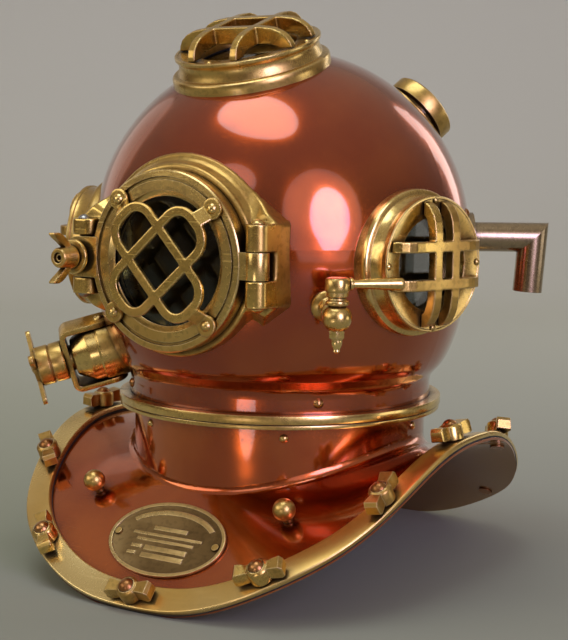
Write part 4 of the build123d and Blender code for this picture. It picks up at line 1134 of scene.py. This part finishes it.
def add_face_frame():
    """Fuses the barrel, its cheeks, the two hinge eyes and the two latch ears."""
    shape = polar(face_section, 180)
    flip = STAND @ Matrix.Scale(-1, 4, (0, 0, 1))
    eye_place = shift(HINGE_AXIS[0], 0, HINGE_AXIS[1]) @ LAY
    for sign in (-1, 1):
        span = sorted(sign * edge for edge in KNUCKLE_SPAN)
        plate(shape, disc_outline(KNUCKLE_RADIUS), *span, eye_place)
        block(shape, HINGE_BLOCK, span, (BLOCK_FOOT, HINGE_AXIS[1]))
        span = sorted(sign * edge for edge in EAR_SPAN)
        plate(shape, [(x, -z) for x, z in EAR_OUTLINE], *span, flip)
    radius, low, high = BOLT_HOLE
    drill = turned(rod(radius, low, high), 48, shift(LATCH_AXIS, 0, 0))
    return cast_piece(
        "face_frame_casting", shape, FACE_PLACE, "bonnet", "face_frame", 0.8, 3, drill
    )


add_face_frame()

# %% [markdown]
# The door's guard is a light casting: two long loops that cross at right angles, with a foot
# at each end that drops to the door ring and widens into a round pad under its screw.

# %% Door guard
DOOR_FACE = 169.4
LOOP_LENGTH = 51
LOOP_WIDTH = 23
LOOP_CORNER = 19
LOOP_BAR = 7.4
LOOP_LEVELS = (175.6, 179.4)
GUARD_TURN = 42
PAD_CIRCLE = 62.6
PAD_RADIUS = 8.4
PAD_LEVELS = (DOOR_FACE + 0.02, DOOR_FACE + 3)
TAB_WIDTH = 12.4


def loop_outline(inset):
    """A rectangle with round corners, set in from the loop's outer edge."""
    corner = LOOP_CORNER - inset
    points = []
    for quarter, (x, y) in enumerate(((1, 1), (-1, 1), (-1, -1), (1, -1))):
        centre = (x * (LOOP_LENGTH - inset - corner), y * (LOOP_WIDTH - inset - corner))
        points += arc(centre, corner, 90 * quarter, 90 * quarter + 90, 8)
    return points


def add_door_guard():
    """Fuses two loops, four feet and four pads."""
    shape = bmesh.new()
    low, high = LOOP_LEVELS
    foot, top = PAD_LEVELS
    tab = [
        (LOOP_LENGTH - LOOP_BAR, high), (LOOP_LENGTH, high), (PAD_CIRCLE - 5, top),
        (PAD_CIRCLE, top), (PAD_CIRCLE, foot), (PAD_CIRCLE - 6, foot), (LOOP_LENGTH - 1.8, low),
        (LOOP_LENGTH - LOOP_BAR, low),
    ]
    for quarter in range(4):
        turn = spin(GUARD_TURN + 90 * quarter)
        if quarter < 2:
            ring_plate(shape, loop_outline(0), loop_outline(LOOP_BAR), low, high, turn)
        plate(shape, tab, -TAB_WIDTH / 2, TAB_WIDTH / 2, turn @ STAND)
        plate(shape, disc_outline(PAD_RADIUS, 32), foot, top, turn @ shift(PAD_CIRCLE, 0, 0))
    return cast_piece("door_guard_casting", shape, FACE_PLACE, "face_door", "door_guard", 0.5, 5)


add_door_guard()

# %% [markdown]
# The saddle's rim is a squared oval that rises over the shoulders. Everything bolted to it
# stands square to its slope, so the slope is worked out here as the pattern maker would draw
# it, and a place on it is found from an azimuth and a distance in from the edge.

# %% Places on the saddle
RIM_HALF_WIDTH = 190
RIM_HALF_DEPTH = 208
RIM_SQUARENESS = 2.6
RIM_DROP = 1.5
CREST = 120
CREST_SHARES = (0.93, -0.09, 0.07)
RIGHT_SAG = 10
COLLAR_RADIUS = 125.3
COLLAR_FOOT = 91
COLLAR_WAVE = 14.5
SADDLE_WALL = 2


def rim_point(azimuth):
    """Radius and height of the underside of the saddle's rim."""
    side = abs(sin(radians(azimuth))) / RIM_HALF_WIDTH
    front = abs(cos(radians(azimuth))) / RIM_HALF_DEPTH
    radius = (side**RIM_SQUARENESS + front**RIM_SQUARENESS) ** (-1 / RIM_SQUARENESS)
    angle = asin(min(1, (radius * side) ** (RIM_SQUARENESS / 2)))
    waves = sum(
        share * (1 - cos(2 * (order + 1) * angle)) / 2 for order, share in enumerate(CREST_SHARES)
    )
    sag = RIGHT_SAG * max(0, -sin(radians(azimuth))) ** 3
    return radius, CREST * waves - RIM_DROP - sag


def skin_point(azimuth, inset):
    """A point on the saddle's upper skin."""
    radius, height = rim_point(azimuth)
    run = radius - COLLAR_RADIUS
    rise = height - (COLLAR_FOOT - COLLAR_WAVE * cos(radians(2 * azimuth)))
    length = hypot(run, rise)
    out = radius - (inset * run + SADDLE_WALL * rise) / length
    up = height + (SADDLE_WALL * run - inset * rise) / length
    return heading(azimuth) * out + Vector((0, 0, up))


def saddle_place(azimuth, inset, turn=0):
    """A place on the saddle, its Z square to the skin and its X along the rim."""
    origin = skin_point(azimuth, inset)
    along = skin_point(azimuth + 1, inset) - skin_point(azimuth - 1, inset)
    normal = (skin_point(azimuth, 0) - origin).cross(along).normalized()
    if normal.z < 0:
        normal.negate()
    along.normalize()
    return axes(origin, along, normal.cross(along), normal) @ spin(turn)


print("rim at the left shoulder:", tuple(round(v, 1) for v in rim_point(90)), "mm")

# %% [markdown]
# Twelve wing nuts hold the two straps down. Each is a round boss with a low cone on top and
# two blocks for wings, narrow at the boss and broad at the end, with filed corners. The three
# solids are joined exactly, so that the seams stay crisp, and every nut is turned to the angle
# at which the wrench left it.

# %% Wing nuts of the straps
STUD_AZIMUTHS = (0, 30, 57, 83, 112, 145, 180, -145, -112, -83, -57, -30)
STUD_INSET = 11
NUT_TURNS = (6, -14, 22, -8, 30, -20, 12, -32, 18, -10, 26, -16)
NUT_LOW = 6.2
NUT_HEIGHT = 13.5
NUT_BORE = 6.35
# Stations along a wing: distance from the stud, half width, lowest and highest level.
WING_STATIONS = (
    (4.5, 4.9, 2.4, 12.3), (9.2, 4.9, 2.3, 12.4), (12.8, 5.6, 2.2, 12.9), (17.6, 6.2, 2.2, 13.2),
    (19.8, 5.8, 3.2, 10.4),
)


def tapered(half, low, high):
    """One station of a wing, a little narrower at its top."""
    return [(-half, low), (half, low), (half - 0.5, high), (0.5 - half, high)]


def nut_shape():
    """One wing nut, its foot at NUT_LOW."""
    boss = [(NUT_BORE, 0), (8.6, 0), (9.2, 0.8), (9.2, 11.0), (8.6, 12.0), (NUT_BORE, NUT_HEIGHT)]
    boss = turned([(radius, NUT_LOW + level) for radius, level in boss], 40)
    sections = []
    for reach, half, low, high in WING_STATIONS:
        sections.append([(reach, y, z) for y, z in tapered(half, NUT_LOW + low, NUT_LOW + high)])
    wings = [loft(bmesh.new(), sections, spin(turn)) for turn in (0, 180)]
    return cut(joined(boss, *wings), turned(rod(NUT_BORE, NUT_LOW - 3, NUT_LOW + 20), 40))


def add_wing_nuts():
    """Sets a copy of the nut on every stud."""
    pattern = nut_shape()
    source = bpy.data.meshes.new("nut_pattern")
    pattern.to_mesh(source)
    pattern.free()
    shape = bmesh.new()
    for azimuth, turn in zip(STUD_AZIMUTHS, NUT_TURNS):
        before = len(shape.verts)
        shape.from_mesh(source)
        fresh = list(shape.verts)[before:]
        bmesh.ops.transform(shape, matrix=saddle_place(azimuth, STUD_INSET, turn), verts=fresh)
    bpy.data.meshes.remove(source)
    return make_piece(
        "strap_wing_nuts", shape, Matrix(), "breastplate", "brail_wing_nuts", "cast_brass",
        soften=0.55, crisp=32,
    )


add_wing_nuts()

# %% [markdown]
# The plate on the chest is a cast oval with a bright raised border. Its sunken field is dark
# and grainy, because polish never reaches it. One blank ribbon and a few blank bars stand up
# from the field, nearly as high as the border, and are rubbed bright with it.

# %% Oval plate
PLATE_INSET = 65
PLATE_HALF = (54, 34)
PLATE_BORDER = 3
PLATE_FIELD = 2.1
FIELD_TOLERANCE = 0.12
PLATE_LEVELS = (1.0, 2.8)
BORDER_LEVELS = (1.0, 3.1)
RIBBON = (46.5, 26.5, 4.6, 32, 148)
# Each bar: centre, half length and half width.
BARS = (
    (0, 8.5, 16, 1.9), (0, 2.2, 33, 1.3), (0, -3.0, 27, 1.3), (4, -10.2, 20, 2.3),
    (4, -17, 20, 2.3), (-24, -9.8, 5, 1.5), (-26, -16.2, 4, 1.5),
)


def oval(half_width, half_height, steps=96):
    """Points round an ellipse."""
    turns = [2 * pi * step / steps for step in range(steps)]
    return [(half_width * cos(a), half_height * sin(a)) for a in turns]


def bent_ribbon(half_width, half_height, wide, start, end, steps=28):
    """A ribbon that follows an ellipse between two angles."""
    turns = [radians(start + (end - start) * step / steps) for step in range(steps + 1)]
    outer = [(half_width * cos(a), half_height * sin(a)) for a in turns]
    inner = [((half_width - wide) * cos(a), (half_height - wide) * sin(a)) for a in turns]
    return outer + inner[::-1]


def bar(x, y, half_length, half_width):
    """A straight bar."""
    corners = ((-1, -1), (1, -1), (1, 1), (-1, 1))
    return [(x + half_length * a, y + half_width * b) for a, b in corners]


def add_oval_plate():
    """Casts the plate and gives its sunken faces the dark finish."""
    base = plate(bmesh.new(), oval(*PLATE_HALF), 0.3, PLATE_FIELD)
    inner = oval(*[half - PLATE_BORDER for half in PLATE_HALF])
    border = ring_plate(bmesh.new(), oval(*PLATE_HALF), inner, *BORDER_LEVELS)
    raised = [bent_ribbon(*RIBBON), *[bar(*sizes) for sizes in BARS]]
    relief = [plate(bmesh.new(), outline, *PLATE_LEVELS) for outline in raised]
    shape = joined(base, border, *relief)
    place = saddle_place(0, PLATE_INSET)
    piece = make_piece(
        "oval_plate", shape, place, "breastplate", "nameplate", "plate_brass", 0.3, 40
    )
    piece.data.materials.append(FINISHES["plate_field"])
    back = (Matrix.Scale(MM, 4) @ place).inverted()
    sunken = 0
    for face in piece.data.polygons:
        if abs((back @ face.center).z - PLATE_FIELD) < FIELD_TOLERANCE:
            face.material_index = 1
            sunken += 1
    print("sunken faces:", sunken)
    return piece


add_oval_plate()

# %% [markdown]
# The exhaust valve's body is a stout turned cylinder whose end tapers to the yoke. The yoke is
# a broad strap bent round it, with rounded feet that are screwed to the body's sides, and it
# was screwed on a little askew, turned away from the front.

# %% Exhaust valve
EXHAUST_AZIMUTH = -52
EXHAUST_SLOPE = -16
# The height at which the valve's axis meets the helmet's.
EXHAUST_START = 223.7
EXHAUST_PLACE = outward((0, 0, EXHAUST_START), EXHAUST_AZIMUTH, EXHAUST_SLOPE)
YOKE_TURN = -17
YOKE_PLACE = EXHAUST_PLACE @ spin(YOKE_TURN)
YOKE_HALF = 29
YOKE_HALF_WIDTH = 11
YOKE_THICKNESS = 4.5
YOKE_TOP = 191.5
YOKE_FOOT = YOKE_TOP - 36
YOKE_BEND = 8
SEAM = 0.01
YOKE_HUB = [(4.1, 176.2), (11, 176.2), (11, 188), (4.1, 188)]
EXHAUST_PROFILE = [
    (14, 100), (25.6, 100), (25.6, 160), (24.9, 161.2), (24.4, 161.6), (24.4, 169), (23.8, 171.2),
    (16.2, 183.6), (14.8, 184.6), (11.4, 184.6), (11.4, 173), (14, 173),
]


def yoke_outline():
    """The bent strap, as a centre line offset to both sides."""
    corner = YOKE_HALF - YOKE_BEND
    level = YOKE_TOP - YOKE_BEND
    inside = YOKE_HALF - YOKE_THICKNESS
    bend = YOKE_BEND - YOKE_THICKNESS
    return [
        (-YOKE_HALF, YOKE_FOOT), *arc((-corner, level), YOKE_BEND, 180, 90, 8),
        *arc((corner, level), YOKE_BEND, 90, 0, 8), (YOKE_HALF, YOKE_FOOT),
        (inside, YOKE_FOOT), *arc((corner, level), bend, 0, 90, 8),
        *arc((-corner, level), bend, 90, 180, 8), (-inside, YOKE_FOOT),
    ]


def add_yoke():
    """Bends the strap, adds its hub and rounds its feet."""
    sideways = Matrix(((0, 0, 1), (1, 0, 0), (0, 1, 0))).to_4x4()
    parts = [plate(bmesh.new(), yoke_outline(), -YOKE_HALF_WIDTH, YOKE_HALF_WIDTH, sideways)]
    for side in (-1, 1):
        low, high = sorted((side * YOKE_HALF, side * (YOKE_HALF - YOKE_THICKNESS)))
        disc = disc_outline(YOKE_HALF_WIDTH - 2 * SEAM, 40)
        foot_place = shift(0, 0, YOKE_FOOT) @ LAY
        parts.append(plate(bmesh.new(), disc, low + SEAM, high - SEAM, foot_place))
    shape = joined(*parts, turned(YOKE_HUB, 48))
    return make_piece(
        "exhaust_yoke_strap", shape, YOKE_PLACE, "bonnet", "exhaust_yoke", "cast_brass",
        soften=0.9, crisp=40,
    )


def dome_profile(radius, low, height, steps=8):
    """Profile of a spherical head that stands on the height low."""
    sphere = (radius**2 + height**2) / (2 * height)
    half = asin(min(1, radius / sphere))
    angles = [half * (1 - step / steps) for step in range(steps)]
    head = [(sphere * sin(a), low + height - sphere + sphere * cos(a)) for a in angles]
    return [(0, low), *head, (0, low + height)]


SCREW_HEAD = (4.6, -0.6, 3.2)
SCREW_SLOT = ((-6, 6), (-0.5, 0.5), (1.9, 6))


def add_yoke_screws():
    """Two domed screw heads with a sawn slot, on the yoke's feet."""
    heads = []
    for side in (-1, 1):
        place = shift(0, side * YOKE_HALF, YOKE_FOOT) @ Matrix.Rotation(radians(-90 * side), 4, "X")
        slot = block(bmesh.new(), *SCREW_SLOT)
        slot.transform(place)
        heads.append(cut(turned(dome_profile(*SCREW_HEAD), 40, place), slot))
    return make_piece(
        "exhaust_yoke_screw_heads", joined(*heads), YOKE_PLACE, "bonnet", "yoke_screws",
        soften=0.15, crisp=40,
    )


make_piece(
    "exhaust_valve_body", turned(EXHAUST_PROFILE), EXHAUST_PLACE, "bonnet", "exhaust_body",
    soften=0.5, crisp=22,
)
add_yoke()
add_yoke_screws()

# %% [markdown]
# The spitcock is a small tap: a turned neck with rings, a ball, a hexagonal nut and a pointed
# spout under it, and a plug with a rounded cap that its lever turns. The lever is a thin taper
# that ends in a fat round tip.

# %% Spitcock
SPIT_AZIMUTH = 45
SPIT_REACH = 190
SPIT_HEIGHT = 228
SPIT_SLOPE = 10
TAP_BALL = 11.2
HEXAGON_RADIUS = 6.4
HEXAGON_LEVELS = (-15.0, -9.4)
CAP_LOW = 15.6
LEVER_LEVEL = CAP_LOW + 9.5
SPIT_CENTRE = Matrix.Translation(heading(SPIT_AZIMUTH) * SPIT_REACH + Vector((0, 0, SPIT_HEIGHT)))
# The neck is turned about a sloping line from the helmet's axis to the ball, this long.
NECK_LENGTH = SPIT_REACH / cos(radians(SPIT_SLOPE))
NECK_PROFILE = [
    (0, 150), (12.4, 150), (12.4, 162.2), (11.2, 163.8), (8.0, 165.2), (6.4, 168), (8.4, 169.6),
    (8.6, 171.4), (7.2, 173.2), (6.4, 174.2), (7.4, 175.4), (8.4, 177), (8.2, 178.8), (6.2, 180.4),
    (5.6, NECK_LENGTH - 2), (0, NECK_LENGTH - 2),
]
BALL_PROFILE = [
    (0, -TAP_BALL), *arc((0, 0), TAP_BALL, -80, 40, 12), (6.2, 8.6), (8.6, 9.8), (9.0, 11.2),
    (8.6, 12.6), (7.0, 13.6), (6.6, 15.1), (3.7, 15.1), (3.7, 4), (0, 4),
]
SPOUT_PROFILE = [
    (0, -26.5), (1.9, -26.2), (2.9, -25.0), (2.5, -23.6), (3.5, -21.4), (4.4, -18.6), (4.1, -16.8),
    (4.9, -15.4), (4.9, -13), (0, -13),
]
CAP_PROFILE = [
    (0, 4.5), (3.5, 4.5), (3.5, CAP_LOW), (7.6, CAP_LOW), (8.2, CAP_LOW + 0.8),
    (8.2, CAP_LOW + 3.4), (9.2, CAP_LOW + 4.6), (9.4, CAP_LOW + 6), (9.4, CAP_LOW + 12.4),
    (8.6, CAP_LOW + 13.8), (6.8, CAP_LOW + 14.5), (0, CAP_LOW + 14.5),
]
LEVER_PROFILE = [
    (0, 2), (3.2, 2), (3.2, 8.6), (4.8, 9.0), (5.0, 10.4), (4.6, 11.2), (3.3, 11.8), (3.3, 13),
    (4.0, 30), (4.9, 44), (5.2, 47.2), (4.9, 49.6), (3.6, 51), (0, 51.3),
]


def add_spitcock():
    """Joins neck, ball, nut and spout to the tap's body, and the cap to its lever."""
    start = SPIT_HEIGHT + SPIT_REACH * sin(radians(SPIT_SLOPE)) / cos(radians(SPIT_SLOPE))
    neck = turned(NECK_PROFILE, 48, outward((0, 0, start), SPIT_AZIMUTH, -SPIT_SLOPE))
    ball = turned(BALL_PROFILE, 56, SPIT_CENTRE)
    hexagon = plate(bmesh.new(), disc_outline(HEXAGON_RADIUS, 6), *HEXAGON_LEVELS, SPIT_CENTRE)
    spout = turned(SPOUT_PROFILE, 40, SPIT_CENTRE)
    cap = turned(CAP_PROFILE, 56, SPIT_CENTRE)
    lever_place = SPIT_CENTRE @ outward((0, 0, LEVER_LEVEL), SPIT_AZIMUTH + 90, 0)
    lever = turned(LEVER_PROFILE, 40, lever_place)
    made = (
        ("spitcock_tap_body", (neck, ball, hexagon, spout), "bonnet", "spitcock_body"),
        ("spitcock_plug_and_lever", (cap, lever), "spitcock_plug", "spitcock_plug"),
    )
    for name, shapes, body, node in made:
        make_piece(name, joined(*shapes), Matrix(), body, node, soften=0.3, crisp=34)


add_spitcock()

# %% [markdown]
# The latch is on the left as seen from the front. It is closed by a wing nut with two ears that
# lean outward like a butterfly's, and its barrel ends in a drilled hole. The bolt carries a
# broad washer that presses on the door's lug.

# %% Latch bolt and its wing nut
LATCH_FRONT = 170
LATCH_PLACE = FACE_PLACE @ shift(LATCH_AXIS, 0, LATCH_FRONT)
BARREL_LOW = 7.8
BARREL_HIGH = 24.4
BARREL_BORE = 4.25
BARREL_PROFILE = [
    (BARREL_BORE, BARREL_LOW), (8.0, BARREL_LOW), (9.4, BARREL_LOW + 1.4), (9.4, BARREL_LOW + 4.6),
    (8.4, BARREL_LOW + 6.2), (8.0, BARREL_HIGH - 1.6), (7.0, BARREL_HIGH),
    (BARREL_BORE, BARREL_HIGH),
]
EAR_HALF_THICKNESS = 2.7
# Stations along an ear: distance from the bolt, level of the middle and half width.
EAR_STATIONS = (
    (4.0, 12.4, 4.8), (8.6, 14.6, 3.8), (12.2, 18.6, 4.6), (15.8, 23.4, 5.4), (18.4, 26.8, 5.0),
    (19.8, 28.6, 3.0),
)
BOLT_PROFILE = [
    (0, -12.9), (5, -12.9), (5, 4.3), (13.2, 4.3), (13.8, 4.9), (13.8, 6.8), (13.0, 7.5),
    (4.0, 7.5), (4.0, 22.0), (3.2, 22.8), (2.0, 22.8), (1.8, 19.0), (0, 18.4),
]


def add_latch_nut():
    """Joins the barrel and its two ears and drills the barrel."""
    ears = []
    for side in (-1, 1):
        sections = [
            [(x, side * reach, z) for x, z in bar(0, level, EAR_HALF_THICKNESS, half)]
            for reach, level, half in EAR_STATIONS
        ]
        ears.append(loft(bmesh.new(), sections))
    bore = turned(rod(BARREL_BORE, BARREL_LOW - 3, BARREL_HIGH + 9), 48)
    shape = cut(joined(turned(BARREL_PROFILE, 48), *ears), bore)
    return make_piece(
        "latch_butterfly_nut", shape, LATCH_PLACE, "latch_wing", "latch_wing_nut", "cast_brass",
        soften=1.0, crisp=40,
    )


add_latch_nut()
make_piece(
    "latch_bolt_and_washer", turned(BOLT_PROFILE, 64), LATCH_PLACE, "latch_bolt", "latch_bolt",
    soften=0.3, crisp=30,
)

# %% [markdown]
# The other turned and bent parts have the right shape already. Only their edges are too sharp
# for metal that has been polished for years, and a sharp edge catches no light. A small bevel
# on each of them gives the thin bright lines that the eye takes for real thickness.

# %% Edges of the other parts
SHARP_EDGE = 0.6
# Nodes by the width of their bevel in millimetres.
BROKEN_EDGES = {
    0.5: [
        "door_ring", "telephone_cap", "bonnet_neck_ring", "breastplate_neck_ring", "exhaust_handle",
    ],
    0.35: [
        "brail_front", "brail_back", "latch_pins", "hinge_pin", "exhaust_spindle", "door_retainer",
        "chin_button",
    ],
}


def break_edges():
    """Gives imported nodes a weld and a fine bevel."""
    edges = [(name, width) for width, names in BROKEN_EDGES.items() for name in names]
    for name, width in edges:
        weld = nodes[name].modifiers.new("weld", "WELD")
        weld.merge_threshold = 1e-6
        edge = nodes[name].modifiers.new("broken_edges", "BEVEL")
        edge.width = width * MM
        edge.segments = 2
        edge.limit_method = "ANGLE"
        edge.angle_limit = SHARP_EDGE
    return len(edges)


print("nodes with broken edges:", break_edges())
